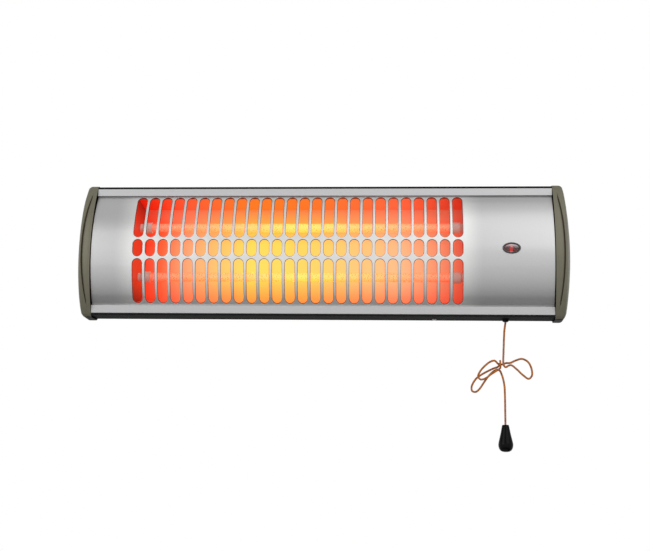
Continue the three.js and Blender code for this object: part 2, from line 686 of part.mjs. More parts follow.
function plateOutline() {
  const shoulder = PANEL_HALF_HEIGHT - PLATE_SHOULDER_DROP;
  const shoulderFront = STRIP_BACK + CLEARANCE;
  const floorLine = inset(CASING_LINE, -CASING_WALL - CLEARANCE);
  const [corner, back] = [floorLine[4], floorLine[3]];
  const share = (PLATE_BACK - corner[0]) / (back[0] - corner[0]);
  const backHeight = corner[1] + share * (back[1] - corner[1]);
  const radius = PANEL_RADIUS - PANEL_SHEET - PLATE_TO_PANEL;
  const half = Math.asin(shoulder / radius);
  const shape = new THREE.Shape();
  shape.absarc(PANEL_RADIUS, 0, radius, Math.PI - half, Math.PI + half, false);
  shape.lineTo(shoulderFront, -shoulder);
  shape.lineTo(shoulderFront, -corner[1]);
  shape.lineTo(corner[0], -corner[1]);
  shape.lineTo(PLATE_BACK, -backHeight);
  shape.lineTo(PLATE_BACK, backHeight);
  shape.lineTo(corner[0], corner[1]);
  shape.lineTo(shoulderFront, corner[1]);
  shape.lineTo(shoulderFront, shoulder);
  return shape;
}

function tubePlate(way) {
  const faces = [TUBE_CENTRE_X + way * PLATE_FACE, TUBE_CENTRE_X + way * (PLATE_FACE + PLATE_SHEET)];
  const span = [Math.min(...faces), Math.max(...faces)];
  const plate = alongX(plateOutline(), ...span, PANEL_ARC_STEPS);
  const holes = Object.values(TUBE_HEIGHTS).map((height) => {
    const hole = rod(CERAMIC_NECK_RADIUS + CLEARANCE, span[0] - OVERCUT, span[1] + OVERCUT, AXIS.x);
    return hole.translate(0, TUBE_DEPTH, height);
  });
  return cut(plate, ...holes);
}

function quartzTube() {
  return ring(TUBE_RADIUS - TUBE_GLASS, TUBE_RADIUS, -TUBE_LENGTH / 2, TUBE_LENGTH / 2, AXIS.x);
}

function heatingCoil() {
  const end = TUBE_LENGTH / 2 - CERAMIC_PLUG - CLEARANCE;
  return rod(COIL_RADIUS, -end, end, AXIS.x, SMALL_ROUND_STEPS);
}

// One tube end, pointing along +X from the middle of the tube.
function ceramicEnd() {
  const plugRadius = TUBE_RADIUS - TUBE_GLASS - CLEARANCE;
  const bore = TERMINAL_RADIUS + CLEARANCE;
  const flangeStart = TUBE_LENGTH / 2 + CLEARANCE;
  const flangeEnd = flangeStart + CERAMIC_FLANGE;
  const neckEnd = PLATE_FACE + CERAMIC_NECK;
  return turned([
    [bore, flangeStart - CERAMIC_PLUG],
    [plugRadius, flangeStart - CERAMIC_PLUG],
    [plugRadius, flangeStart],
    [CERAMIC_FLANGE_RADIUS, flangeStart],
    [CERAMIC_FLANGE_RADIUS, flangeEnd],
    [CERAMIC_NECK_RADIUS, flangeEnd],
    [CERAMIC_NECK_RADIUS, neckEnd],
    [bore, neckEnd],
    [bore, flangeStart - CERAMIC_PLUG],
  ], AXIS.x, SMALL_ROUND_STEPS);
}

function tubeTerminal() {
  const start = TUBE_LENGTH / 2 - CERAMIC_PLUG + 2 * CLEARANCE;
  return rod(TERMINAL_RADIUS, start, TERMINAL_END, AXIS.x, SMALL_ROUND_STEPS);
}

// Indicator light

function bezelBody(extra) {
  const less = 2 * (BEZEL_BODY_INSET - extra);
  return oval(INDICATOR_X, INDICATOR_Z, BEZEL_LENGTH - less, BEZEL_HEIGHT - less);
}

function bezelBore(extra) {
  const less = 2 * (BEZEL_RIM + extra);
  return oval(INDICATOR_X, INDICATOR_Z, BEZEL_LENGTH - less, BEZEL_HEIGHT - less);
}

function indicatorBezel() {
  const flange = oval(INDICATOR_X, INDICATOR_Z, BEZEL_LENGTH, BEZEL_HEIGHT);
  const front = -CLEARANCE - BEZEL_FLANGE;
  const whole = join(alongY(flange, front, -CLEARANCE), alongY(bezelBody(0), front, BEZEL_BODY_DEPTH));
  return cut(whole, alongY(bezelBore(0), front - OVERCUT, BEZEL_BODY_DEPTH + OVERCUT));
}

function indicatorLens() {
  const front = -CLEARANCE - BEZEL_FLANGE - LENS_PROUD;
  return alongY(bezelBore(CLEARANCE), front, front + LENS_THICKNESS);
}

function lampHolder() {
  const back = BEZEL_BODY_DEPTH;
  return alongY(bezelBore(CLEARANCE), back - LAMP_HOLDER_LENGTH, back);
}

function indicatorLamp() {
  const front = BEZEL_BODY_DEPTH - LAMP_HOLDER_LENGTH - CLEARANCE;
  const lamp = rod(LAMP_RADIUS, -LAMP_LENGTH / 2, LAMP_LENGTH / 2, AXIS.z, SMALL_ROUND_STEPS);
  return lamp.translate(INDICATOR_X, front - LAMP_RADIUS, INDICATOR_Z);
}

// Wall bracket and pivots

// An ear around the pivot that reaches along the depth to a foot, as a (depth, height) outline.
function earOutline(pivot, foot) {
  const toFoot = Math.sign(foot - pivot);
  const start = toFoot > 0 ? Math.PI / 2 : -Math.PI / 2;
  const shape = new THREE.Shape();
  shape.absarc(pivot, 0, EAR_RADIUS, start, start + Math.PI, false);
  shape.lineTo(foot, -toFoot * EAR_RADIUS);
  shape.lineTo(foot, toFoot * EAR_RADIUS);
  return shape;
}

function pivotHole() {
  return rod(BOLT_RADIUS + CLEARANCE, -LUG_SPAN, LUG_SPAN, AXIS.x);
}

function wallBracket() {
  const inner = LUG_SPAN / 2 + CLEARANCE;
  const outer = inner + BRACKET_SHEET;
  const half = BRACKET_HEIGHT / 2;
  const plate = block([-outer, outer], [-BRACKET_SHEET, 0], [-half, half]);
  const ear = earOutline(-PIVOT_TO_WALL, -BRACKET_SHEET / 2);
  const slots = [-1, 1].map((way) => {
    const low = (way * WALL_SLOT_SPACING - WALL_SLOT_LENGTH) / 2;
    const outline = stadium(0, low, low + WALL_SLOT_LENGTH, WALL_SLOT_WIDTH);
    const slot = new THREE.ExtrudeGeometry(outline, {
      depth: BRACKET_SHEET + 2 * OVERCUT,
      bevelEnabled: false,
      curveSegments: SLOT_END_STEPS,
    });
    return slot.rotateZ(Math.PI / 2).applyMatrix4(OUTLINE_ALONG_Y).translate(0, OVERCUT, 0);
  });
  const frame = join(plate, alongX(ear, -outer, -inner), alongX(ear, inner, outer));
  return cut(frame, pivotHole().translate(0, -PIVOT_TO_WALL, 0), ...slots);
}

function pivotLug(way) {
  const outer = LUG_SPAN / 2;
  const front = CASING_BACK + CLEARANCE;
  const spans = [outer - BRACKET_SHEET, outer, outer - LUG_FOOT].map((x) => way * x);
  const earSpan = [Math.min(spans[0], spans[1]), Math.max(spans[0], spans[1])];
  const footSpan = [Math.min(spans[2], spans[1]), Math.max(spans[2], spans[1])];
  const ear = alongX(earOutline(PIVOT_DEPTH, front + BRACKET_SHEET / 2), ...earSpan);
  const foot = block(footSpan, [front, front + BRACKET_SHEET], [-LUG_FOOT_HEIGHT / 2, LUG_FOOT_HEIGHT / 2]);
  return cut(join(ear, foot), pivotHole().translate(0, PIVOT_DEPTH, 0));
}

// The bolt and nut of one pivot, laid out from the lug's outer face at zero.
function pivotBolt() {
  const head = 2 * CLEARANCE + BRACKET_SHEET;
  const end = -BRACKET_SHEET - 2 * CLEARANCE - NUT_THICKNESS - CLEARANCE;
  return turned([
    [0, end],
    [BOLT_RADIUS, end],
    [BOLT_RADIUS, head],
    [BOLT_HEAD_RADIUS, head],
    [BOLT_HEAD_RADIUS, head + BOLT_HEAD],
    [0, head + BOLT_HEAD],
  ], AXIS.x);
}

function pivotNut() {
  const face = -BRACKET_SHEET - CLEARANCE;
  const hexagon = rod(NUT_RADIUS, face - NUT_THICKNESS, face, AXIS.x, 6);
  const bore = rod(BOLT_RADIUS + CLEARANCE, face - 2 * NUT_THICKNESS, face + NUT_THICKNESS, AXIS.x);
  return cut(hexagon, bore);
}

// Pull-cord switch

function switchHousing() {
  const low = CORD_X - SWITCH_OVERHANG;
  const high = PIN_X + SWITCH_PAST_PIN;
  const floor = CASING_FLOOR + CLEARANCE;
  const outside = block(
    [low, high],
    [CORD_DEPTH - SWITCH_HALF, CORD_DEPTH + SWITCH_HALF],
    [floor, SWITCH_ROOM_TOP + SWITCH_TOP],
  );
  const room = block(
    [low - OVERCUT, high - SWITCH_WALL],
    [CORD_DEPTH - SWITCH_ROOM_HALF, CORD_DEPTH + SWITCH_ROOM_HALF],
    [floor - OVERCUT, SWITCH_ROOM_TOP],
  );
  const reach = SWITCH_HALF + OVERCUT;
  const pinHole = rod(LEVER_PIN_RADIUS + CLEARANCE, -reach, reach, AXIS.y, SMALL_ROUND_STEPS);
  return cut(outside, room, pinHole.translate(PIN_X, CORD_DEPTH, PIN_HEIGHT));
}

function leverPin() {
  const pin = rod(LEVER_PIN_RADIUS, -SWITCH_HALF, SWITCH_HALF, AXIS.y, SMALL_ROUND_STEPS);
  return pin.translate(PIN_X, CORD_DEPTH, PIN_HEIGHT);
}

// The pieces on the pin are laid out round it, with the cord at minus the lever's arm.
function switchLever() {
  const hubHalf = LEVER_HUB_WIDTH / 2;
  const forkHalf = SWITCH_ROOM_HALF - LEVER_FORK_ROOM;
  const thick = [-LEVER_THICKNESS / 2, LEVER_THICKNESS / 2];
  const hub = rod(LEVER_HUB_RADIUS, -hubHalf, hubHalf, AXIS.y, SMALL_ROUND_STEPS);
  const fork = block([-LEVER_ARM - LEVER_TIP, -LEVER_ARM + LEVER_TIP], [-forkHalf, forkHalf], thick);
  const arm = block([-LEVER_ARM, 0], [-hubHalf, hubHalf], thick);
  const slitHalf = CORD_DIAMETER / 2 + CLEARANCE;
  const slit = block(
    [-LEVER_ARM - LEVER_TIP - OVERCUT, -LEVER_ARM + slitHalf + CLEARANCE],
    [-slitHalf, slitHalf],
    [thick[0] - OVERCUT, thick[1] + OVERCUT],
  );
  const reach = hubHalf + OVERCUT;
  const bore = rod(LEVER_PIN_RADIUS + CLEARANCE, -reach, reach, AXIS.y, SMALL_ROUND_STEPS);
  return cut(join(hub, arm, fork), slit, bore);
}

function selectorDrum() {
  const low = LEVER_HUB_WIDTH / 2 + CLEARANCE;
  const high = low + DRUM_WIDTH;
  const root = DRUM_RADIUS - DRUM_TOOTH_DEPTH;
  const points = [];
  for (let i = 0; i < DRUM_TEETH; i += 1) {
    const start = (2 * Math.PI * i) / DRUM_TEETH;
    const end = (2 * Math.PI * (i + 1)) / DRUM_TEETH;
    points.push([DRUM_RADIUS * Math.cos(start), DRUM_RADIUS * Math.sin(start)]);
    points.push([root * Math.cos(end), root * Math.sin(end)]);
  }
  const bore = rod(
    LEVER_PIN_RADIUS + CLEARANCE,
    low - OVERCUT,
    high + OVERCUT,
    AXIS.y,
    SMALL_ROUND_STEPS,
  );
  return cut(alongY(polygon(points), low, high), bore);
}

function leverSpring() {
  const high = -LEVER_HUB_WIDTH / 2 - CLEARANCE;
  const low = high - SPRING_WIDTH;
  return ring(SPRING_RADIUS - SPRING_WALL, SPRING_RADIUS, low, high, AXIS.y, SMALL_ROUND_STEPS);
}

function cordFerrule() {
  const top = FERRULE_BOTTOM + FERRULE_HEIGHT;
  const ferrule = rod(FERRULE_RADIUS, FERRULE_BOTTOM, top, AXIS.z, SMALL_ROUND_STEPS);
  return ferrule.translate(CORD_X, CORD_DEPTH, 0);
}

function cordBush() {
  const bore = CORD_DIAMETER / 2 + CLEARANCE;
  const seat = -CASING_TOP - CLEARANCE;
  const bush = turned([
    [bore, BUSH_MOUTH],
    [BUSH_MOUTH_RADIUS, BUSH_MOUTH],
    [BUSH_SHOULDER.radius, BUSH_MOUTH + BUSH_SHOULDER.height],
    [BUSH_RADIUS, seat],
    [BUSH_BODY_RADIUS, seat],
    [BUSH_BODY_RADIUS, seat + BUSH_BODY_LENGTH],
    [bore, seat + BUSH_BODY_LENGTH],
    [bore, BUSH_MOUTH],
  ], AXIS.z, SMALL_ROUND_STEPS);
  return bush.translate(CORD_X, CORD_DEPTH, 0);
}

// Pull cord and knob

function cordInBush() {
  const top = FERRULE_BOTTOM - CLEARANCE;
  return rod(CORD_DIAMETER / 2, BUSH_MOUTH, top, AXIS.z, CORD_SIDES).translate(CORD_X, CORD_DEPTH, 0);
}

// The route's end is drawn back a little so that the next stretch meets it with a gap.
function drawnBack(end, before) {
  const from = new THREE.Vector3(...end);
  const way = new THREE.Vector3(...before).sub(from).setLength(CLEARANCE);
  return from.add(way).toArray();
}

function cordStretch(route, sides, steps) {
  return tubeAlong(smoothCurve(route), CORD_DIAMETER / 2, sides, steps);
}

function upperCord() {
  const end = drawnBack(BOW_START, UPPER_ROUTE[UPPER_ROUTE.length - 1]);
  const steps = Math.round(-BOW_START[2] / CORD_STEP);
  return cordStretch([[0, 0, -SWING_GAP], ...UPPER_ROUTE, end], CORD_SIDES, steps);
}

function bowCord() {
  return cordStretch([BOW_START, ...BOW_ROUTE, BOW_END], BOW_SIDES, BOW_STEPS);
}

function lowerCord() {
  const start = drawnBack(BOW_END, LOWER_ROUTE[0]);
  const end = [KNOB_X, 0, -KNOB_DROP + CLEARANCE];
  const steps = Math.round((BOW_END[2] + KNOB_DROP) / CORD_STEP);
  return cordStretch([start, ...LOWER_ROUTE, end], CORD_SIDES, steps);
}

// The least distance between stretches of the bow that aren't neighbours, less the cord's diameter.
function bowGap() {
  const samples = 400;
  const curve = smoothCurve([BOW_START, ...BOW_ROUTE, BOW_END]);
  const points = curve.getSpacedPoints(samples);
  const apart = Math.ceil((3 * CORD_DIAMETER * samples) / curve.getLength());
  let least = Infinity;
  for (let i = 0; i <= samples; i += 1) {
    for (let j = i + apart; j <= samples; j += 1) least = Math.min(least, points[i].distanceTo(points[j]));
  }
  return least - CORD_DIAMETER;
}

function pullKnob() {
  const round = KNOB_LENGTH - KNOB_SHOULDER;
  const profile = [[0, -KNOB_LENGTH]];
  for (let i = 1; i <= KNOB_STEPS; i += 1) {
    const angle = (Math.PI / 2) * (i / KNOB_STEPS);
    profile.push([KNOB_RADIUS * Math.sin(angle), -KNOB_SHOULDER - round * Math.cos(angle)]);
  }
  profile.push([KNOB_TOP_RADIUS, 0], [0, 0]);
  return turned(profile, AXIS.z).translate(KNOB_X, 0, -KNOB_DROP);
}

// Electrical pieces

function terminalBlock() {
  const { length, height, z } = TERMINAL_BLOCK;
  const body = block(
    [BLOCK_X - length / 2, BLOCK_X + length / 2],
    [BLOCK_FRONT, BLOCK_BACK],
    [z - height / 2, z + height / 2],
  );
  const span = [BLOCK_FRONT - OVERCUT, BLOCK_FRONT + BLOCK_HOLE_DEPTH];
  const holes = [];
  for (let i = 0; i < BLOCK_WAYS; i += 1) {
    const hole = rod(BLOCK_HOLE_RADIUS, ...span, AXIS.y, SMALL_ROUND_STEPS);
    holes.push(hole.translate(BLOCK_X + (i - (BLOCK_WAYS - 1) / 2) * (length / BLOCK_WAYS), 0, z));
  }
  return cut(body, ...holes);
}

function thermalCutout() {
  const face = TUBE_CENTRE_X + PLATE_FACE + PLATE_SHEET + CLEARANCE;
  const disc = rod(CUTOUT_RADIUS, face, face + CUTOUT_THICKNESS, AXIS.x);
  return disc.translate(0, CUTOUT_DEPTH, TUBE_MID_HEIGHT);
}

function cableGland() {
  const seat = CASING_BACK + CLEARANCE;
  const inside = seat - GLAND_BODY_LENGTH;
  const gland = turned([
    [GLAND_BORE_RADIUS, inside],
    [GLAND_BODY_RADIUS, inside],
    [GLAND_BODY_RADIUS, seat],
    [GLAND_FLANGE_RADIUS, seat],
    [GLAND_BODY_RADIUS, seat + GLAND_FLANGE],
    [GLAND_BORE_RADIUS, seat + GLAND_FLANGE],
    [GLAND_BORE_RADIUS, inside],
  ], AXIS.y);
  return gland.translate(GLAND_X, 0, GLAND_Z);
}

function casingScrew() {
  const seat = -CASING_TOP - CLEARANCE;
  const screw = turned([
    [0, seat - SCREW_HEAD],
    [SCREW_CROWN_RADIUS, seat - SCREW_HEAD],
    [SCREW_HEAD_RADIUS, seat],
    [SCREW_RADIUS, seat],
    [SCREW_RADIUS, seat + SCREW_LENGTH],
    [0, seat + SCREW_LENGTH],
  ], AXIS.z, SMALL_ROUND_STEPS);
  return screw.translate(CASING_SCREW_X, CASING_SCREW_DEPTH, 0);
}

function lead(...points) {
  return tubeAlong(smoothCurve(points), LEAD_RADIUS, CORD_SIDES, LEAD_STEPS);
}

// From a tube's right terminal to the top of the switch.
function switchLead(height, entry, drop) {
  const right = TUBE_CENTRE_X + TERMINAL_END + CLEARANCE;
  const top = SWITCH_ROOM_TOP + SWITCH_TOP + CLEARANCE;
  return lead(
    [right, TUBE_DEPTH, height],
    [right + LEAD_BEND, TUBE_DEPTH, height],
    [CORD_X + entry, CORD_DEPTH, top + drop],
    [CORD_X + entry, CORD_DEPTH, top],
  );
}

function supplyLead() {
  const front = BLOCK_FRONT - CLEARANCE;
  const top = SWITCH_ROOM_TOP + SWITCH_TOP + CLEARANCE;
  const x = CORD_X + SWITCH_ENTRIES.supply;
  return lead(
    [BLOCK_X, front, TERMINAL_BLOCK.z],
    [BLOCK_X, front - LEAD_BEND, TERMINAL_BLOCK.z],
    [x, CORD_DEPTH, top + 2 * LEAD_BEND],
    [x, CORD_DEPTH, top],
  );
}

// Between the two tubes' left terminals.
function linkLead() {
  const left = TUBE_CENTRE_X - TERMINAL_END - CLEARANCE;
  const { upper, lower } = TUBE_HEIGHTS;
  return lead(
    [left, TUBE_DEPTH, upper],
    [left - LEAD_BEND / 2, TUBE_DEPTH, upper],
    [left - LEAD_BEND, TUBE_DEPTH, upper - LEAD_BEND],
    [left - LEAD_BEND, TUBE_DEPTH, lower + LEAD_BEND],
    [left - LEAD_BEND / 2, TUBE_DEPTH, lower],
    [left, TUBE_DEPTH, lower],
  );
}

// From the block behind the reflector to the link at the other end.
function returnLead() {
  const left = TUBE_CENTRE_X - TERMINAL_END - CLEARANCE;
  const blockSide = BLOCK_X - TERMINAL_BLOCK.length / 2 - CLEARANCE;
  const entry = [BLOCK_FRONT + LEAD_BEND / 2, TERMINAL_BLOCK.z - LEAD_BEND / 2];
  const depth = CASING_BACK - CASING_WALL - LEAD_BEHIND.toBack;
  const { height } = LEAD_BEHIND;
  return lead(
    [blockSide, ...entry],
    [blockSide - LEAD_BEND / 2, ...entry],
    [blockSide - 2 * LEAD_BEND, entry[0], 0],
    [blockSide - 4 * LEAD_BEND, depth, height / 2],
    [blockSide - 6 * LEAD_BEND, depth, height],
    [TUBE_CENTRE_X, depth, height],
    [left + 5 * LEAD_BEND, depth, height],
    [left + 2 * LEAD_BEND, depth, height / 2],
    [left - LEAD_BEND, depth - 2 * LEAD_BEND, 0],
    [left - LEAD_BEND, depth - 3 * LEAD_BEND, TUBE_MID_HEIGHT],
    [left - LEAD_BEND, TUBE_DEPTH + LEAD_RADIUS + CLEARANCE, TUBE_MID_HEIGHT],
  );
}

// Assembly

const whole = new THREE.Group();
const heater = new THREE.Group();
heater.position.y = -DEPTH_TO_WALL;
whole.add(heater);
const onPin = new THREE.Group();
onPin.position.set(PIN_X, CORD_DEPTH, PIN_HEIGHT);
heater.add(onPin);
const underBush = new THREE.Group();
underBush.position.set(CORD_X, CORD_DEPTH, BUSH_MOUTH);
heater.add(underBush);

function add(parent, name, geometry, finish) {
  const mesh = new THREE.Mesh(geometry, new THREE.MeshStandardMaterial(MATERIALS[finish]));
  mesh.name = name;
  parent.add(mesh);
  return mesh;
}

function addTubes() {
  for (const [level, height] of Object.entries(TUBE_HEIGHTS)) {
    const tube = new THREE.Group();
    tube.position.set(TUBE_CENTRE_X, TUBE_DEPTH, height);
    heater.add(tube);
    add(tube, `quartz_tube_${level}`, quartzTube(), 'quartz');
    add(tube, `heating_coil_${level}`, heatingCoil(), 'element');
    for (const [side, way] of Object.entries(SIDES)) {
      const end = new THREE.Group();
      end.rotation.z = way > 0 ? 0 : Math.PI;
      tube.add(end);
      add(end, `ceramic_end_${level}_${side}`, ceramicEnd(), 'ceramic');
      add(end, `tube_terminal_${level}_${side}`, tubeTerminal(), 'steel');
    }
  }
}

function addPivots() {
  for (const [side, way] of Object.entries(SIDES)) {
    add(heater, `pivot_lug_${side}`, pivotLug(way), 'steel');
    const pivot = new THREE.Group();
    pivot.position.set((way * LUG_SPAN) / 2, -PIVOT_TO_WALL, 0);
    pivot.rotation.z = way > 0 ? 0 : Math.PI;
    whole.add(pivot);
    add(pivot, `pivot_bolt_${side}`, pivotBolt(), 'steel');
    add(pivot, `pivot_nut_${side}`, pivotNut(), 'steel');
  }
}

add(whole, 'wall_bracket', wallBracket(), 'casing');
addPivots();
add(heater, 'rear_casing', rearCasing(), 'casing');
add(heater, 'front_panel', frontPanel(), 'panel');
add(heater, 'trim_strip_top', trimStrip(1), 'strip');
add(heater, 'trim_strip_bottom', trimStrip(-1), 'strip');
for (const [side, way] of Object.entries(SIDES)) {
  add(heater, `end_cap_${side}`, endCap(way), 'cap');
  add(heater, `tube_plate_${side}`, tubePlate(way), 'steel');
}
add(heater, 'reflector', reflector(), 'mirror');
addTubes();
add(heater, 'indicator_bezel', indicatorBezel(), 'blackPlastic');
add(heater, 'indicator_lens', indicatorLens(), 'lens');
add(heater, 'indicator_lamp', indicatorLamp(), 'lamp');
add(heater, 'lamp_holder', lampHolder(), 'nylon');
add(heater, 'switch_housing', switchHousing(), 'nylon');
add(heater, 'lever_pin', leverPin(), 'steel');
add(onPin, 'switch_lever', switchLever(), 'brass');
add(onPin, 'selector_drum', selectorDrum(), 'nylon');
add(onPin, 'lever_spring', leverSpring(), 'steel');
add(heater, 'cord_ferrule', cordFerrule(), 'brass');
add(heater, 'cord_bush', cordBush(), 'blackPlastic');
add(heater, 'pull_cord_inner', cordInBush(), 'cord');
add(underBush, 'pull_cord_upper', upperCord(), 'cord');
add(underBush, 'pull_cord_bow', bowCord(), 'cord');
add(underBush, 'pull_cord_lower', lowerCord(), 'cord');
add(underBush, 'pull_knob', pullKnob(), 'blackPlastic');
add(heater, 'terminal_block', terminalBlock(), 'nylon');
add(heater, 'thermal_cutout', thermalCutout(), 'steel');
add(heater, 'cable_gland', cableGland(), 'blackPlastic');
add(heater, 'casing_screw', casingScrew(), 'steel');
const { upper, lower } = TUBE_HEIGHTS;
add(heater, 'lead_upper_tube', switchLead(upper, SWITCH_ENTRIES.upper, 2 * LEAD_BEND), 'insulation');
add(heater, 'lead_lower_tube', switchLead(lower, SWITCH_ENTRIES.lower, LEAD_BEND), 'insulation');
add(heater, 'lead_supply', supplyLead(), 'insulation');
add(heater, 'lead_tube_link', linkLead(), 'insulation');
add(heater, 'lead_return', returnLead(), 'insulation');

console.log(`least gap of the bow to itself: ${bowGap().toFixed(2)} mm`);

export default whole;
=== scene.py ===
import math
from contextlib import contextmanager

import bmesh
import bpy
from mathutils import Matrix, Vector


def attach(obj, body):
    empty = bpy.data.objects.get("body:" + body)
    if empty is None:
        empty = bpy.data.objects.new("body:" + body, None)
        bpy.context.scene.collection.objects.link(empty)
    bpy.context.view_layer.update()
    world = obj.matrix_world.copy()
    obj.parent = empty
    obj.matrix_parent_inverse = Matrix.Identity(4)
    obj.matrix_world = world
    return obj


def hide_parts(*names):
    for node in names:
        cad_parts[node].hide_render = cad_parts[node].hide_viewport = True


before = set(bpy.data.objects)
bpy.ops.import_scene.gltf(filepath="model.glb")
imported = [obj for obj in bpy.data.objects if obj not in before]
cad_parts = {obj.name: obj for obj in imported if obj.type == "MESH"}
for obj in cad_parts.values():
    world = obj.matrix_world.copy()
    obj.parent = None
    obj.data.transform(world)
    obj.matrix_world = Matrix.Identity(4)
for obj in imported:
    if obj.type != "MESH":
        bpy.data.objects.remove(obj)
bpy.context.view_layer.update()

MM = 0.001
DEPTH_TO_WALL = 118
BODY_END = 256.2
CAP_INNER = 256.5

PANEL_RADIUS = 118
PANEL_SHEET = 1
SLOT_COLUMNS = 26
SLOT_PITCH = 14.18
SLOT_WIDTH = 10.7
GRILLE_CENTRE = -26.2
SLOT_ROWS = ((11.4, 61.2), (-10.5, 8.4), (-60.4, -13.5))

TUBE_CENTRE = -24.7
TUBE_DEPTH = 38
TUBE_LENGTH = 342
TUBE_HEIGHTS = {"upper": 31.25, "lower": -26.25}
TUBE_RADIUS = 5
TUBE_GLASS = 1
PLATE_FACE = 184.6

INDICATOR = (209, -1.1)
CORD_DEPTH = 33
CORD_X = 204
BUSH_MOUTH = -76
CORD_DIAMETER = 2.2
KNOB_OFFSET = -2
KNOB_TOP = -189.8

# Corners nearer to each other than this many metres are one.
MEETING = 1e-6


def spot(x, depth, height):
    """The place of a point of the heater, in metres."""
    return Vector((x, depth - DEPTH_TO_WALL, height)) * MM


# Camera and cord

CAMERA_PLACE = (0.0901, -1.3322, -0.2995)
CAMERA_TURN = (-0.0691, 0.2161, 0.0176)
CAMERA_LENS = 63.133
CAMERA_SENSOR = 36


def add_camera():
    yaw, pitch, roll = CAMERA_TURN
    ahead = Vector((math.sin(yaw) * math.cos(pitch), math.cos(yaw) * math.cos(pitch), math.sin(pitch)))
    level = Vector((math.cos(yaw), -math.sin(yaw), 0))
    upright = level.cross(ahead)
    right = math.cos(roll) * level + math.sin(roll) * upright
    up = math.cos(roll) * upright - math.sin(roll) * level
    bpy.ops.object.camera_add(location=CAMERA_PLACE)
    camera = bpy.context.object
    camera.name = "camera"
    camera.data.sensor_width = CAMERA_SENSOR
    camera.data.lens = CAMERA_LENS
    turn = Matrix((right, up, -ahead)).transposed()
    camera.rotation_euler = turn.to_euler()
    bpy.context.scene.camera = camera


@contextmanager
def editing(piece):
    """Edit mode on one piece alone, with all of it selected."""
    pick(piece)
    bpy.ops.object.mode_set(mode="EDIT")
    bpy.ops.mesh.select_all(action="SELECT")
    yield
    bpy.ops.object.mode_set(mode="OBJECT")


def pick(piece):
    bpy.ops.object.select_all(action="DESELECT")
    piece.select_set(True)
    bpy.context.view_layer.objects.active = piece


def laid_grid(name, columns, rows, where):
    """A grid of that many faces each way, whose corner (column, row) lies where the function says."""
    bpy.ops.object.select_all(action="DESELECT")
    bpy.ops.mesh.primitive_grid_add(x_subdivisions=columns, y_subdivisions=rows, size=1)
    piece = bpy.context.object
    piece.name = piece.data.name = name
    for place, vertex in enumerate(piece.data.vertices):
        row, column = divmod(place, columns + 1)
        vertex.co = where(column, row)
    return piece


def drawn_face(name, points):
    """A flat face through the points."""
    bpy.ops.object.select_all(action="DESELECT")
    bpy.ops.mesh.primitive_circle_add(vertices=len(points), fill_type="NGON")
    piece = bpy.context.object
    piece.name = piece.data.name = name
    for vertex, point in zip(piece.data.vertices, points):
        vertex.co = point
    return piece


def closed(piece, gap=MEETING):
    """Joins the corners that meet and turns the faces outwards."""
    with editing(piece):
        bpy.ops.mesh.remove_doubles(threshold=gap)
        bpy.ops.mesh.normals_make_consistent(inside=False)
    return piece


def capped(piece):
    """Fills the open ends."""
    with editing(piece):
        bpy.ops.mesh.remove_doubles(threshold=MEETING)
        bpy.ops.mesh.select_all(action="DESELECT")
        bpy.ops.mesh.select_non_manifold()
        bpy.ops.mesh.fill_holes(sides=0)
        bpy.ops.mesh.select_all(action="SELECT")
        bpy.ops.mesh.normals_make_consistent(inside=False)
    return piece


def pulled(piece, offset):
    """A face drawn out into a solid."""
    with editing(piece):
        bpy.ops.mesh.extrude_region_move(TRANSFORM_OT_translate={"value": offset})
        bpy.ops.mesh.select_all(action="SELECT")
        bpy.ops.mesh.normals_make_consistent(inside=False)
    return piece


def applied(piece, kind, **settings):
    modifier = piece.modifiers.new(kind.lower(), kind)
    for name, value in settings.items():
        setattr(modifier, name, value)
    pick(piece)
    bpy.ops.object.modifier_apply(modifier=modifier.name)
    return piece


def cut_away(piece, tool):
    applied(piece, "BOOLEAN", operation="DIFFERENCE", object=tool, solver="EXACT")
    bpy.data.objects.remove(tool)
    return piece


def smooth(piece, angle=35):
    pick(piece)
    bpy.ops.object.shade_smooth_by_angle(angle=math.radians(angle))
    return piece


def turned(name, profile, centre, along, steps=48):
    """A turned piece from (radius, distance) points, about a line through the centre."""
    axis = Vector(along).normalized()
    side = axis.orthogonal().normalized()
    other = axis.cross(side)

    def where(column, row):
        radius, distance = profile[column]
        angle = 2 * math.pi * row / steps
        around = math.cos(angle) * side + math.sin(angle) * other
        return centre + (axis * distance + around * radius) * MM

    return closed(laid_grid(name, len(profile) - 1, steps, where))


def arc(radius, middle, start, end, steps):
    """(radius, distance) points on an arc, with angles in degrees."""
    points = []
    for i in range(steps + 1):
        angle = math.radians(start + (end - start) * i / steps)
        points.append((middle[0] + radius * math.cos(angle), middle[1] + radius * math.sin(angle)))
    return points


CURVE_PARTS = 24


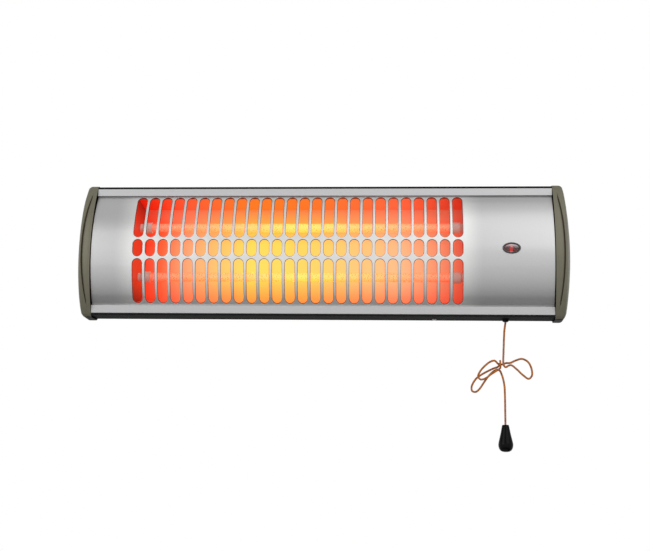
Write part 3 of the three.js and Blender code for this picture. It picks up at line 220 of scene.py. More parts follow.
def through(knots, spacing):
    """Evenly spaced points on the smooth curve through the knots."""
    ends = [2 * knots[0] - knots[1], *knots, 2 * knots[-1] - knots[-2]]
    fine = []
    for a, b, c, d in zip(ends, ends[1:], ends[2:], ends[3:]):
        times = [0]
        for start, end in ((a, b), (b, c), (c, d)):
            times.append(times[-1] + math.sqrt((end - start).length))
        for i in range(CURVE_PARTS):
            t = times[1] + (times[2] - times[1]) * i / CURVE_PARTS

            def between(p, q, low, high):
                return p + (q - p) * ((t - low) / (high - low))

            ab = between(a, b, times[0], times[1])
            bc = between(b, c, times[1], times[2])
            cd = between(c, d, times[2], times[3])
            abc = between(ab, bc, times[0], times[2])
            bcd = between(bc, cd, times[1], times[3])
            fine.append(between(abc, bcd, times[1], times[2]))
    fine.append(knots[-1])
    length = sum((q - p).length for p, q in zip(fine, fine[1:]))
    count = round(length / spacing)
    points, run, place = [fine[0]], 0.0, 0
    for i in range(1, count):
        goal = length * i / count
        while run + (fine[place + 1] - fine[place]).length < goal:
            run += (fine[place + 1] - fine[place]).length
            place += 1
        step = fine[place + 1] - fine[place]
        points.append(fine[place] + step * ((goal - run) / step.length))
    points.append(fine[-1])
    return points, length


def tube_on(name, line, sides, radius_at):
    """A tube round a line, its radius from (turn round it, distance along it)."""
    last = len(line) - 1
    ways = [(line[min(i + 1, last)] - line[max(i - 1, 0)]).normalized() for i in range(last + 1)]
    across = [ways[0].orthogonal().normalized()]
    for before, after in zip(ways, ways[1:]):
        across.append(before.rotation_difference(after) @ across[-1])
    runs = [0.0]
    for p, q in zip(line, line[1:]):
        runs.append(runs[-1] + (q - p).length)

    def where(column, row):
        side = across[row]
        other = ways[row].cross(side)
        angle = 2 * math.pi * column / sides
        radius = radius_at(angle, runs[row])
        return line[row] + (math.cos(angle) * side + math.sin(angle) * other) * radius

    piece = laid_grid(name, sides, last, where)
    chart = piece.data.uv_layers.active.data
    for corner, loop in zip(chart, piece.data.loops):
        row, column = divmod(loop.vertex_index, sides + 1)
        corner.uv = (column / sides, runs[row] / (CORD_DIAMETER * MM))
    return capped(piece)


CORD_ROUTE = [
    (0, 0, -0.7), (-1.4, 0, -9.9), (-2.1, 0, -19.9), (-2.6, -0.2, -29.9), (-3.1, -1, -38.8),
    (-3.4, -2.4, -43), (-3.6, -3.7, -46.4), (-3, -3.7, -49.6), (-0.8, -2.8, -51.4), (1.8, -1.8, -49.8),
    (5.2, -1.4, -49), (10.9, -1, -53.2), (17.8, -0.6, -59.7), (23.8, 0, -63.5), (27.4, 0.6, -60.3),
    (27.5, 1.2, -53.2), (23.9, 1.6, -45.1), (17.3, 1.8, -41.5), (10.2, 1.8, -43.4), (4.2, 1.6, -46.1),
    (-0.2, 1.2, -46.4), (-4.6, 0.4, -48), (-8.8, -0.2, -47.4), (-12.6, -1.6, -44.2),
    (-17.6, -2.8, -45.6), (-23.9, -3.4, -50.6), (-28.9, -3.8, -56.6), (-31, -4.2, -61.9),
    (-28.6, -4.2, -65.1), (-23.6, -4, -64.2), (-17.4, -3.4, -59.7), (-11, -2.4, -55.4),
    (-6.8, -0.8, -52.2), (-6.8, -3.8, -48.4), (-6.6, -0.4, -44.2), (-6.4, 3.8, -47),
    (-8.8, 5.2, -50), (-13.3, 5.2, -51.7), (-21.2, 5, -55.6), (-27.5, 4.6, -59.3),
    (-31.7, 4.2, -62.4), (-35.5, 3.6, -67.3), (-37.8, 2.8, -72.9), (-37.2, 2, -77.2),
    (-33.5, 1.4, -78.2), (-29.2, 1, -74.8), (-24.8, 0.8, -68.4), (-20.8, 1, -62.7),
    (-16.6, 1.4, -57.8), (-12.6, 2, -54.6), (-9.1, 2.6, -53.4), (-6.7, 2.4, -54.9),
    (-5.4, 1.6, -57.9), (-3.8, 0.4, -63.4), (-2.4, 0, -71.6), (-2, 0, -84.2), (-2, 0, -99.8),
    (-2, 0, -113.5),
]
BRAID_SIDES = 16
BRAID_STEP = 0.45
STRANDS = 4
BRAID_PITCH = 5.2
BRAID_MEAN = 0.975
BRAID_RELIEF = 0.04


def braid_radius(angle, run):
    """The cord's radius where strands cross each other both ways."""
    wind = 2 * math.pi * run / (BRAID_PITCH * MM)
    weave = math.cos(STRANDS * angle - wind) * math.cos(STRANDS * angle + wind)
    return (CORD_DIAMETER / 2) * MM * (BRAID_MEAN + BRAID_RELIEF * weave)


def add_cord():
    knots = [spot(CORD_X + x, CORD_DEPTH + depth, BUSH_MOUTH + height) for x, depth, height in CORD_ROUTE]
    line, length = through(knots, BRAID_STEP * MM)
    cord = smooth(tube_on("pull_cord", line, BRAID_SIDES, braid_radius), 80)
    return cord, line, length


add_camera()
pull_cord, cord_line, cord_length = add_cord()


# Finishes

# The part of a noise's range that a finish uses, and the sockets of a mix of two colours.
GRAIN_LOW, GRAIN_HIGH = 0.3, 0.7
MIX_SHARE, MIX_FIRST, MIX_SECOND, MIX_RESULT = 0, 6, 7, 2


def set_plain(shader, **values):
    for name, value in values.items():
        socket = shader.inputs[name.replace("_", " ").title().replace("Ior", "IOR")]
        socket.default_value = (*value, 1) if isinstance(value, tuple) else value


def finish(name, colour, roughness, metallic=0.0, grain=220, spread=0.06, wear=0.05,
           bump=0.02, stretch=(1, 1, 1), **more):
    """A finish whose colour, roughness and surface vary with a fine grain."""
    material = bpy.data.materials.new(name)
    material.use_nodes = True
    tree = material.node_tree
    nodes, links = tree.nodes, tree.links
    shader = nodes["Principled BSDF"]
    set_plain(shader, metallic=metallic, **more)
    place = nodes.new("ShaderNodeTexCoord")
    mapping = nodes.new("ShaderNodeMapping")
    mapping.inputs["Scale"].default_value = stretch
    noise = nodes.new("ShaderNodeTexNoise")
    noise.inputs["Scale"].default_value = grain
    noise.inputs["Detail"].default_value = 4
    tint = nodes.new("ShaderNodeValToRGB")
    tint.color_ramp.elements[0].position = GRAIN_LOW
    tint.color_ramp.elements[1].position = GRAIN_HIGH
    tint.color_ramp.elements[0].color = (*[c * (1 - spread) for c in colour], 1)
    tint.color_ramp.elements[1].color = (*[min(1, c * (1 + spread)) for c in colour], 1)
    rough = nodes.new("ShaderNodeMapRange")
    rough.inputs["From Min"].default_value = GRAIN_LOW
    rough.inputs["From Max"].default_value = GRAIN_HIGH
    rough.inputs["To Min"].default_value = roughness - wear
    rough.inputs["To Max"].default_value = roughness + wear
    lumps = nodes.new("ShaderNodeBump")
    lumps.inputs["Strength"].default_value = 1
    lumps.inputs["Distance"].default_value = bump * MM
    links.new(place.outputs["Object"], mapping.inputs["Vector"])
    links.new(mapping.outputs["Vector"], noise.inputs["Vector"])
    links.new(noise.outputs["Fac"], tint.inputs["Fac"])
    links.new(noise.outputs["Fac"], rough.inputs["Value"])
    links.new(noise.outputs["Fac"], lumps.inputs["Height"])
    links.new(tint.outputs["Color"], shader.inputs["Base Color"])
    links.new(rough.outputs["Result"], shader.inputs["Roughness"])
    links.new(lumps.outputs["Normal"], shader.inputs["Normal"])
    return material


def axis_share(material, axis, low, high, run="SMOOTHSTEP"):
    """A number that runs from 0 to 1 between two places on an axis, in millimetres."""
    nodes, links = material.node_tree.nodes, material.node_tree.links
    place = nodes.new("ShaderNodeTexCoord")
    split = nodes.new("ShaderNodeSeparateXYZ")
    share = nodes.new("ShaderNodeMapRange")
    share.interpolation_type = run
    share.inputs["From Min"].default_value = low * MM
    share.inputs["From Max"].default_value = high * MM
    links.new(place.outputs["Object"], split.inputs["Vector"])
    links.new(split.outputs[axis], share.inputs["Value"])
    return share.outputs["Result"]


def ramp(material, source, stops):
    """A colour that runs through the stops as the source goes from 0 to 1."""
    nodes, links = material.node_tree.nodes, material.node_tree.links
    node = nodes.new("ShaderNodeValToRGB")
    elements = node.color_ramp.elements
    elements[0].position, elements[0].color = stops[0][0], (*stops[0][1], 1)
    elements[1].position, elements[1].color = stops[-1][0], (*stops[-1][1], 1)
    for position, colour in stops[1:-1]:
        elements.new(position).color = (*colour, 1)
    links.new(source, node.inputs["Fac"])
    return node.outputs["Color"]


def mixed(material, share, first, second, kind="MIX"):
    nodes, links = material.node_tree.nodes, material.node_tree.links
    mix = nodes.new("ShaderNodeMix")
    mix.data_type = "RGBA"
    mix.blend_type = kind
    for place, source in ((MIX_SHARE, share), (MIX_FIRST, first), (MIX_SECOND, second)):
        socket = mix.inputs[place]
        if isinstance(source, bpy.types.NodeSocket):
            links.new(source, socket)
        else:
            socket.default_value = source
    return mix.outputs[MIX_RESULT]


def scaled(material, share, start, end):
    """A number that goes from start to end with the share."""
    node = material.node_tree.nodes.new("ShaderNodeMapRange")
    node.inputs["To Min"].default_value = start
    node.inputs["To Max"].default_value = end
    material.node_tree.links.new(share, node.inputs["Value"])
    return node.outputs["Result"]


# Depths where the olive front ends and the black painted shade of the underside and rear begins.
CAP_OLIVE_END, CAP_PAINTED_SHADE_START = 19.6, 21.4
CAP_PAINTED_SHADE_BLACK = (0.006, 0.006, 0.007, 1)
CAP_SHEEN, CAP_DULL = 0.25, 0.02


def cap_finish():
    """Olive with a sheen on the front; dull black behind, which is painted shade of the cap's underside and
    rear.
    """
    material = finish("olive_cap_with_painted_shade", (0.19, 0.18, 0.13), 0.38, grain=300, spread=0.05)
    nodes, links = material.node_tree.nodes, material.node_tree.links
    shader = nodes["Principled BSDF"]
    olive = nodes["Color Ramp"].outputs["Color"]
    front, back = CAP_OLIVE_END - DEPTH_TO_WALL, CAP_PAINTED_SHADE_START - DEPTH_TO_WALL
    behind = axis_share(material, "Y", front, back)
    # The black behind is painted shade, not the cap's own colour.
    colour = mixed(material, behind, olive, CAP_PAINTED_SHADE_BLACK)
    links.new(colour, shader.inputs["Base Color"])
    sheen = scaled(material, behind, CAP_SHEEN, CAP_DULL)
    for name in ("Metallic", "Specular IOR Level"):
        links.new(sheen, shader.inputs[name])
    return material


GLOW = [
    (0.0, (0.25, 0.004, 0.002)), (0.06, (0.8, 0.03, 0.008)), (0.16, (1.0, 0.16, 0.05)),
    (0.34, (1.0, 0.42, 0.06)), (0.5, (0.95, 0.6, 0.03)), (0.66, (1.0, 0.42, 0.06)),
    (0.84, (1.0, 0.2, 0.08)), (0.94, (0.85, 0.06, 0.02)), (1.0, (0.3, 0.01, 0.004)),
]
# Painted glow: the tubes' light on the reflector, painted as emission.
PAINTED_REFLECTED_GLOW = [
    (0.0, (0.8, 0.01, 0.002)), (0.05, (0.9, 0.07, 0.01)), (0.14, (1.0, 0.32, 0.14)),
    (0.34, (0.92, 0.66, 0.06)), (0.5, (0.94, 0.6, 0.07)), (0.8, (1.0, 0.42, 0.2)),
    (1.0, (0.6, 0.05, 0.03)),
]
PAINTED_GLOW_TO_EDGES = [
    (0.0, (0.7, 0.12, 0.1)), (0.14, (0.95, 0.5, 0.5)), (0.32, (1.0, 1.0, 1.0)),
    (0.68, (1.0, 1.0, 1.0)), (0.84, (0.95, 0.5, 0.5)), (1.0, (0.7, 0.12, 0.1)),
]
# Painted glow of the tubes' light on the tube plates.
PLATE_PAINTED_GLOW = [
    (0.0, (0.1, 0.0, 0.0)), (0.24, (0.75, 0.03, 0.006)), (0.7, (0.8, 0.025, 0.006)),
    (1.0, (0.3, 0.005, 0.003)),
]
REFLECTOR_BOTTOM, REFLECTOR_TOP = -60.5, 61


def glowing(material, strength, colours=GLOW):
    """Adds a glow, red at the ends and yellow in the middle: the elements' own heat on tubes and coils, a
    painted glow on the reflector.
    """
    nodes, links = material.node_tree.nodes, material.node_tree.links
    shader = nodes["Principled BSDF"]
    share = axis_share(material, "X", TUBE_CENTRE - PLATE_FACE, TUBE_CENTRE + PLATE_FACE, "LINEAR")
    links.new(ramp(material, share, colours), shader.inputs["Emission Color"])
    shader.inputs["Emission Strength"].default_value = strength
    return material


def reflector_finish():
    """Bright metal with a warm tint and a painted glow of the tubes' light, redder toward its two long
    edges, over its real reflections.
    """
    material = finish("reflector_with_painted_glow", (0.36, 0.24, 0.15), 0.5, 1.0, grain=60, stretch=(0.2, 1, 1))
    glowing(material, 0.92, PAINTED_REFLECTED_GLOW)
    warm = material.node_tree.nodes["Principled BSDF"].inputs["Emission Color"]
    rise = axis_share(material, "Z", REFLECTOR_BOTTOM, REFLECTOR_TOP, "LINEAR")
    edges = ramp(material, rise, PAINTED_GLOW_TO_EDGES)
    lit = mixed(material, 1.0, warm.links[0].from_socket, edges, "MULTIPLY")
    material.node_tree.links.new(lit, warm)
    return material


# Painted light: the heaters' glow painted as paler silver over the grille.
PAINTED_GLOW_PALER = (1.4, 1.4, 1.38, 1)
PAINTED_GLOW_ZONE = (("X", -232, -204), ("X", 180, 152), ("Z", -66, -60), ("Z", 66, 60))


def panel_finish():
    """Silver, with painted light of the glow making it paler between the slots."""
    material = finish("silver_paint_with_painted_glow", (0.62, 0.62, 0.62), 0.34, 0.85, grain=1500, spread=0.03, bump=0.004)
    nodes, links = material.node_tree.nodes, material.node_tree.links
    plain = nodes["Color Ramp"].outputs["Color"]
    colour = mixed(material, 1.0, plain, PAINTED_GLOW_PALER, "MULTIPLY")
    for axis, outer, inner in PAINTED_GLOW_ZONE:
        colour = mixed(material, axis_share(material, axis, outer, inner), plain, colour)
    links.new(colour, nodes["Principled BSDF"].inputs["Base Color"])
    return material


def plate_finish():
    """Steel with a painted red glow between the tubes, darkening toward its ends."""
    material = finish("plate_with_painted_glow", (0.06, 0.03, 0.03), 0.5, 0.8, grain=400, emission_strength=0.85)
    rise = axis_share(material, "Z", REFLECTOR_BOTTOM, REFLECTOR_TOP, "LINEAR")
    shader = material.node_tree.nodes["Principled BSDF"]
    material.node_tree.links.new(ramp(material, rise, PLATE_PAINTED_GLOW), shader.inputs["Emission Color"])
    return material


# A painted highlight: the reflection of a bright light, painted pale on the lens's upper part.
LENS_PAINTED_HIGHLIGHT = (0.75, 0.72, 0.74, 1)
LENS_SMOKE_END, LENS_HIGHLIGHT_START = -0.5, 3.5
LENS_CLEAR, LENS_CLEAR_UNDER_HIGHLIGHT = 0.9, 0.35


def lens_finish():
    """Smoked glass with a pale painted highlight toward its top, less clear there."""
    material = finish("smoked_lens", (0.2, 0.13, 0.14), 0.06, grain=300, wear=0.02, ior=1.3, coat_weight=1.0)
    shader = material.node_tree.nodes["Principled BSDF"]
    height = INDICATOR[1]
    rise = axis_share(material, "Z", height + LENS_SMOKE_END, height + LENS_HIGHLIGHT_START)
    smoke = material.node_tree.nodes["Color Ramp"].outputs["Color"]
    colour = mixed(material, rise, smoke, LENS_PAINTED_HIGHLIGHT)
    material.node_tree.links.new(colour, shader.inputs["Base Color"])
    clear = scaled(material, rise, LENS_CLEAR, LENS_CLEAR_UNDER_HIGHLIGHT)
    material.node_tree.links.new(clear, shader.inputs["Transmission Weight"])
    return material


STRAND_SHADE = (0.55, 0.5, 0.45, 1)
ONE_BAND = math.pi / 10


def cord_finish():
    """Orange-brown braid: strands that cross each other, from the cord's own chart."""
    material = finish("orange_braid", (0.52, 0.17, 0.032), 0.8, grain=900, spread=0.25, bump=0.03)
    nodes, links = material.node_tree.nodes, material.node_tree.links
    chart = nodes.new("ShaderNodeUVMap")
    waves = []
    for way in (1, -1):
        mapping = nodes.new("ShaderNodeMapping")
        mapping.inputs["Scale"].default_value = (STRANDS, way * CORD_DIAMETER / BRAID_PITCH, 1)
        wave = nodes.new("ShaderNodeTexWave")
        wave.wave_type = "BANDS"
        wave.bands_direction = "DIAGONAL"
        wave.inputs["Scale"].default_value = ONE_BAND
        links.new(chart.outputs["UV"], mapping.inputs["Vector"])
        links.new(mapping.outputs["Vector"], wave.inputs["Vector"])
        waves.append(wave.outputs["Fac"])
    crossing = nodes.new("ShaderNodeMath")
    crossing.operation = "MAXIMUM"
    links.new(waves[0], crossing.inputs[0])
    links.new(waves[1], crossing.inputs[1])
    fibre = nodes["Color Ramp"].outputs["Color"]
    shade = mixed(material, crossing.outputs["Value"], STRAND_SHADE, (1, 1, 1, 1))
    colour = mixed(material, 1.0, fibre, shade, "MULTIPLY")
    links.new(colour, nodes["Principled BSDF"].inputs["Base Color"])
    return material


SILVER = panel_finish()
STRIP_PAINT = finish("light_grey_trim", (0.62, 0.62, 0.63), 0.42, 0.2, grain=900, spread=0.03, bump=0.006)
BLACK_PAINT = finish("black_powder_coat", (0.009, 0.009, 0.01), 0.75, grain=1100, spread=0.2, bump=0.05,
                     specular_ior_level=0.15)
CAP = cap_finish()
# Painted shade for the wall of the scoop's step, where the groove lies in shadow.
GROOVE_PAINTED_SHADE = finish("groove_painted_shade", (0.045, 0.03, 0.012), 0.55, grain=500, spread=0.15)
MIRROR = reflector_finish()
STEEL = finish("bright_steel", (0.42, 0.42, 0.43), 0.34, 0.9, grain=700, stretch=(1, 1, 0.2))
PLATE_STEEL = plate_finish()
# Red-brown painted shade for the steep faces of the slots' rims.
SLOT_EDGE_PAINTED_SHADE = finish("slot_edge_painted_shade", (0.09, 0.03, 0.02), 0.5, 0.3, grain=900, spread=0.15)
QUARTZ = glowing(finish("frosted_quartz", (1.0, 0.75, 0.5), 0.3, grain=600, transmission_weight=0.5), 0.38)
ELEMENT = glowing(finish("glowing_element", (1.0, 0.5, 0.2), 0.5, grain=900), 1.3)
CERAMIC = finish("white_ceramic", (0.78, 0.76, 0.7), 0.55, grain=800, spread=0.05, bump=0.03)
BLACK_GLOSS = finish("black_gloss_plastic", (0.003, 0.003, 0.004), 0.16, grain=500, spread=0.2, wear=0.04,
                     specular_ior_level=0.1)
BEZEL = finish("dark_grey_ring", (0.07, 0.07, 0.075), 0.2, grain=500, spread=0.15, wear=0.04)
LENS = lens_finish()
LAMP = finish("red_lamp", (0.9, 0.05, 0.03), 0.3, grain=400, emission_strength=3)
LAMP.node_tree.nodes["Principled BSDF"].inputs["Emission Color"].default_value = (1, 0.03, 0.02, 1)
NYLON = finish("cream_nylon", (0.72, 0.7, 0.63), 0.5, grain=500, bump=0.03)
BRASS = finish("brass", (0.6, 0.4, 0.13), 0.3, 0.95, grain=600)
BRAID = cord_finish()
SLEEVE = finish("glass_sleeve", (0.6, 0.57, 0.5), 0.75, grain=1500, spread=0.15, bump=0.05)
FLOOR = finish("pale_floor", (0.8, 0.8, 0.79), 0.7, grain=3, spread=0.01)


def dressed(piece, material, body, slot, *nodes):
    """Gives a new piece its finish and the body it moves with, and hides the nodes it stands for."""
    if material not in list(piece.data.materials):
        piece.data.materials.append(material)
    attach(piece, body)
    if nodes:
        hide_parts(*nodes)
    return piece


# Front panel

def stadium(x, low, high, width, depth, steps=10):
    radius = width / 2
    points = arc(radius, (x, high - radius), 0, 180, steps)
    points += arc(radius, (x, low + radius), 180, 360, steps)
    return [Vector((a, depth, b)) * MM for a, b in points]


def oval(length, height, depth, steps=40):
    points = []
    for i in range(steps):
        angle = 2 * math.pi * i / steps
        x, z = length / 2 * math.cos(angle), height / 2 * math.sin(angle)
        points.append(Vector((INDICATOR[0] + x, depth, INDICATOR[1] + z)) * MM)
    return points


def curve_panel(piece):
    """Bends the flat sheet round the heater's length, its front face on the panel's radius."""
    for vertex in piece.data.vertices:
        x, inward, height = vertex.co / MM
        lean = math.asin(height / PANEL_RADIUS)
        radius = PANEL_RADIUS - inward
        vertex.co = spot(x, PANEL_RADIUS - radius * math.cos(lean), radius * math.sin(lean))


# The sheet's level edge lines, none of which meets a round slot end.
PANEL_LINES = (
    -66, -62.8, -54.5, -50.5, -46.5, -42.5, -38.5, -34.5, -30.5, -26.5, -22.5, -19.2, -12,
    -4.8, -1, 2.7, 9.9, 17.2, 21, 25, 29, 33, 37, 41, 45, 49, 52.5, 55.4, 62.8, 66,
)
PANEL_COLUMNS_LEFT = (-241, -226)
PANEL_COLUMNS_RIGHT = (176, 193, 225, 241)
RIM_RADIUS = 0.8
LIGHT_HOLE = (17.8, 10.3)
TOOL_FRONT = -3
TOOL_LENGTH = 7
AT_FRONT = 1e-5
STEEP = 0.9


def round_rims(panel):
    """Rounds the flat sheet's front edges and gives the steep part of them a red-brown painted shade."""
    with editing(panel):
        mesh = bmesh.from_edit_mesh(panel.data)
        rims = [
            edge for edge in mesh.edges
            if all(abs(vertex.co.y) < AT_FRONT for vertex in edge.verts)
            and len(edge.link_faces) == 2 and edge.calc_face_angle(0) > 1
        ]
        bmesh.ops.bevel(mesh, geom=rims, offset=RIM_RADIUS * MM, offset_type="OFFSET", segments=4,
                        profile=0.5, affect="EDGES", clamp_overlap=False)
        bmesh.update_edit_mesh(panel.data)
    panel.data.materials.append(SILVER)
    panel.data.materials.append(SLOT_EDGE_PAINTED_SHADE)
    for face in panel.data.polygons:
        if abs(face.normal.y) < STEEP:
            face.material_index = 1


def hole_tool(outline):
    """A solid that cuts the outline through the sheet."""
    return pulled(drawn_face("hole", outline), (0, TOOL_LENGTH * MM, 0))


def add_panel():
    webs = [GRILLE_CENTRE + (k - SLOT_COLUMNS / 2) * SLOT_PITCH for k in range(SLOT_COLUMNS + 1)]
    across = [-BODY_END, *PANEL_COLUMNS_LEFT, *webs, *PANEL_COLUMNS_RIGHT, BODY_END]

    def where(column, row):
        return Vector((across[column], 0, PANEL_LINES[row])) * MM

    panel = laid_grid("panel_sheet", len(across) - 1, len(PANEL_LINES) - 1, where)
    applied(panel, "SOLIDIFY", thickness=PANEL_SHEET * MM, offset=-1)
    first = GRILLE_CENTRE - (SLOT_COLUMNS - 1) / 2 * SLOT_PITCH
    for low, high in SLOT_ROWS:
        tool = hole_tool(stadium(first, low, high, SLOT_WIDTH, TOOL_FRONT))
        applied(tool, "ARRAY", count=SLOT_COLUMNS, use_relative_offset=False, use_constant_offset=True,
                constant_offset_displace=(SLOT_PITCH * MM, 0, 0))
        cut_away(panel, tool)
    cut_away(panel, hole_tool(oval(*LIGHT_HOLE, TOOL_FRONT)))
    round_rims(panel)
    curve_panel(panel)
    smooth(panel, 40)
    applied(panel, "WEIGHTED_NORMAL", keep_sharp=True)
    dressed(panel, SILVER, "heater", "panel", "front_panel")


# End caps

CAP_ROWS = 46
CAP_RADIUS = 150
CAP_CENTRE = 148.5
CAP_HALF = 76
CAP_FRONT_MARGIN = 3.6
CAP_SHOULDER = 43.6
CAP_BACK = 87
CAP_BACK_HALF = 48.1
CAP_CORNERS = (0, 5.5, 6, 8, 8, 6, 5.5, 0)
CAP_SHEET = 0.9
CAP_FRONT_REACH = 269
CAP_WIDEST = 275
CAP_WIDEST_DEPTH = 28
CAP_FALL_TO_FRONT = 6
CAP_FALL_TO_TOP = 5
CAP_FALL_HEIGHT = 64
CAP_MIDDLE_DEPTH = 43
CAP_RINGS = (0.97, 0.92, 0.85, 0.74, 0.6, 0.4, 0.2, 0.0)
CAP_ROUNDING = 1
CAP_END_ROUNDING = 4
CAP_MEETING = 2e-5

# Faces across the cap's inner edge, its scoop, the scoop's outer wall, its rim and its rounded edge.
CAP_FIELDS = (4, 8, 2, 3, 7)
SCOOP = {
    "top": 64, "bottom": -64, "ends": 261, "bulge": 267.1, "hollow": 259, "lip": 0.7,
    "depth": 1.3, "groove": 0.5, "lip_depth": 1.0, "fade": 8, "curve": 1.3,
}


def rounded(corners, radii, steps=6):
    """A closed outline with each corner on an arc."""
    points = []
    for i, corner in enumerate(corners):
        corner = Vector(corner)
        before = (Vector(corners[i - 1]) - corner).normalized()
        after = (Vector(corners[(i + 1) % len(corners)]) - corner).normalized()
        half = before.angle(after) / 2
        if not radii[i]:
            points.append(corner)
            continue
        middle = corner + (before + after).normalized() * (radii[i] / math.sin(half))
        reach = radii[i] / math.tan(half)
        start, end = corner + before * reach - middle, corner + after * reach - middle
        for k in range(steps + 1):
            points.append(middle + start.lerp(end, k / steps).normalized() * radii[i])
    return points


def cap_outline():
    """(depth, height) points round the cap, from the top of its front down and back over the rear."""
    front = []
    limit = math.asin((CAP_HALF - CAP_FRONT_MARGIN) / CAP_RADIUS)
    for row in range(CAP_ROWS + 1):
        lean = limit * (1 - 2 * row / CAP_ROWS)
        front.append((CAP_CENTRE - CAP_RADIUS * math.cos(lean), CAP_RADIUS * math.sin(lean)))
    depth = CAP_CENTRE - math.sqrt(CAP_RADIUS ** 2 - CAP_HALF ** 2)
    lower = [(depth, -CAP_HALF), (CAP_SHOULDER, -CAP_HALF), (CAP_BACK, -CAP_BACK_HALF)]
    upper = [(CAP_BACK, CAP_BACK_HALF), (CAP_SHOULDER, CAP_HALF), (depth, CAP_HALF)]
    rest = rounded([front[-1], *lower, *upper, front[0]], CAP_CORNERS)
    return [Vector(p) for p in front], rest[1:-1]


def side_reach(point):
    """How far out the cap's side stands: widest a little behind the panel, at the middle height."""
    ahead = max(0, 1 - point.x / CAP_WIDEST_DEPTH)
    fall = CAP_FALL_TO_FRONT * ahead ** 2
    return CAP_WIDEST - fall - CAP_FALL_TO_TOP * (point.y / CAP_FALL_HEIGHT) ** 2


def add_cap(side, way):
    front, rest = cap_outline()
    outline = front + rest
    count = len(outline)
    edges = []
    for i, point in enumerate(outline):
        run = (outline[(i + 1) % count] - outline[i - 1]).normalized()
        edges.append(Vector((-run.y, run.x)))
    centre = Vector((CAP_MIDDLE_DEPTH, 0))
    if (centre - outline[0]).dot(edges[0]) < 0:
        edges = [-edge for edge in edges]
    first, wide, wall, last, bend = CAP_FIELDS
    flat = first + wide + wall + last
    columns = flat + bend + len(CAP_RINGS)

    def lines(height, along):
        """Where the cap's straight lines run at that height, and how deep the scoop is on each."""
        share = (height - SCOOP["bottom"]) / (SCOOP["top"] - SCOOP["bottom"])
        inside = 0 < share < 1
        bow = 4 * share * (1 - share) if inside else 0
        hollow = SCOOP["ends"] + (SCOOP["hollow"] - SCOOP["ends"]) * bow
        bulge = SCOOP["ends"] + (SCOOP["bulge"] - SCOOP["ends"]) * bow
        lip = bulge + (SCOOP["lip"] if inside else 0)
        end = CAP_FRONT_REACH - along
        places = []
        fields = ((CAP_INNER, hollow, first), (hollow, bulge, wide), (bulge, lip, wall), (lip, end, last))
        for low, high, parts in fields:
            places += [low + (high - low) * k / parts for k in range(parts)]
        places.append(end)
        fade = min(1, SCOOP["fade"] * bow)
        sinks = []
        for k in range(flat + 1):
            t = (k - first) / wide
            sink = SCOOP["depth"] * t ** SCOOP["curve"] if 0 <= t <= 1 else 0
            if k in (first + wide - 1, first + wide):
                sink += SCOOP["groove"]
            if k == first + wide + 1:
                sink = SCOOP["lip_depth"]
            sinks.append(sink * fade)
        return places, sinks

    def where(column, row):
        point, edge = outline[row % count], edges[row % count]
        rounding = CAP_ROUNDING + CAP_END_ROUNDING * abs(edge.y) ** 1.5
        places, sinks = lines(point.y, rounding)
        squeeze = (side_reach(point) - CAP_INNER) / (CAP_FRONT_REACH - CAP_INNER)
        if column <= flat:
            x = CAP_INNER + (places[column] - CAP_INNER) * squeeze
            if row % count <= CAP_ROWS:
                point = point + edge * sinks[column]
        elif column <= flat + bend:
            angle = math.pi / 2 * (column - flat) / bend
            reach = CAP_FRONT_REACH - rounding * (1 - math.sin(angle))
            x = CAP_INNER + (reach - CAP_INNER) * squeeze
            point = point + edge * (rounding * (1 - math.cos(angle)))
        else:
            point = point + edge * rounding
            point = centre + (point - centre) * CAP_RINGS[column - flat - bend - 1]
            x = side_reach(point)
        return spot(way * x, point.x, point.y)

    cap = laid_grid("end_cap_" + side + "_shell", columns, count, where)
    # The scoop's outer wall takes the groove's painted shade.
    dark = []
    for face in cap.data.polygons:
        row, column = divmod(min(face.vertices), columns + 1)
        if row < CAP_ROWS and first + wide - 1 <= column < first + wide + wall - 1:
            dark.append(face.index)
    cap.data.materials.append(CAP)
    cap.data.materials.append(GROOVE_PAINTED_SHADE)
    for index in dark:
        cap.data.polygons[index].material_index = 1
    closed(cap, CAP_MEETING)
    applied(cap, "SOLIDIFY", thickness=CAP_SHEET * MM, offset=-1)
    smooth(cap, 45)
    dressed(cap, CAP, "heater", "cap", "end_cap_" + side)


# Heating tubes

GLASS_EASE = 0.25
COIL_MARGIN = 6.5
COIL_RADIUS = 2.5
COIL_TURNS = 96
COIL_PARTS = 10
WIRE_RADIUS = 0.45
WIRE_SIDES = 6


def add_tubes():
    half = TUBE_LENGTH / 2
    for level, height in TUBE_HEIGHTS.items():
        middle = spot(TUBE_CENTRE, TUBE_DEPTH, height)
        bore = TUBE_RADIUS - TUBE_GLASS
        wall = [
            (bore, -half), (TUBE_RADIUS - GLASS_EASE, -half), (TUBE_RADIUS, -half + GLASS_EASE),
            (TUBE_RADIUS, half - GLASS_EASE), (TUBE_RADIUS - GLASS_EASE, half), (bore, half), (bore, -half),
        ]
        glass = smooth(turned("quartz_tube_" + level + "_glass", wall, middle, (1, 0, 0), 40), 40)
        dressed(glass, QUARTZ, "heater", "quartz", "quartz_tube_" + level)
        add_coil(level, middle, half - COIL_MARGIN)


def add_coil(level, middle, half):
    """The wound wire inside a tube."""
    count = COIL_TURNS * COIL_PARTS
    line = []
    for i in range(count + 1):
        angle = 2 * math.pi * i / COIL_PARTS
        along = half * (2 * i / count - 1)
        around = (along, COIL_RADIUS * math.cos(angle), COIL_RADIUS * math.sin(angle))
        line.append(middle + Vector(around) * MM)
    wire = tube_on("heating_coil_" + level + "_wire", line, WIRE_SIDES, lambda *place: WIRE_RADIUS * MM)
    coil = smooth(wire, 60)
    dressed(coil, ELEMENT, "heater", "element", "heating_coil_" + level)


# Indicator light, bush, cord and knob

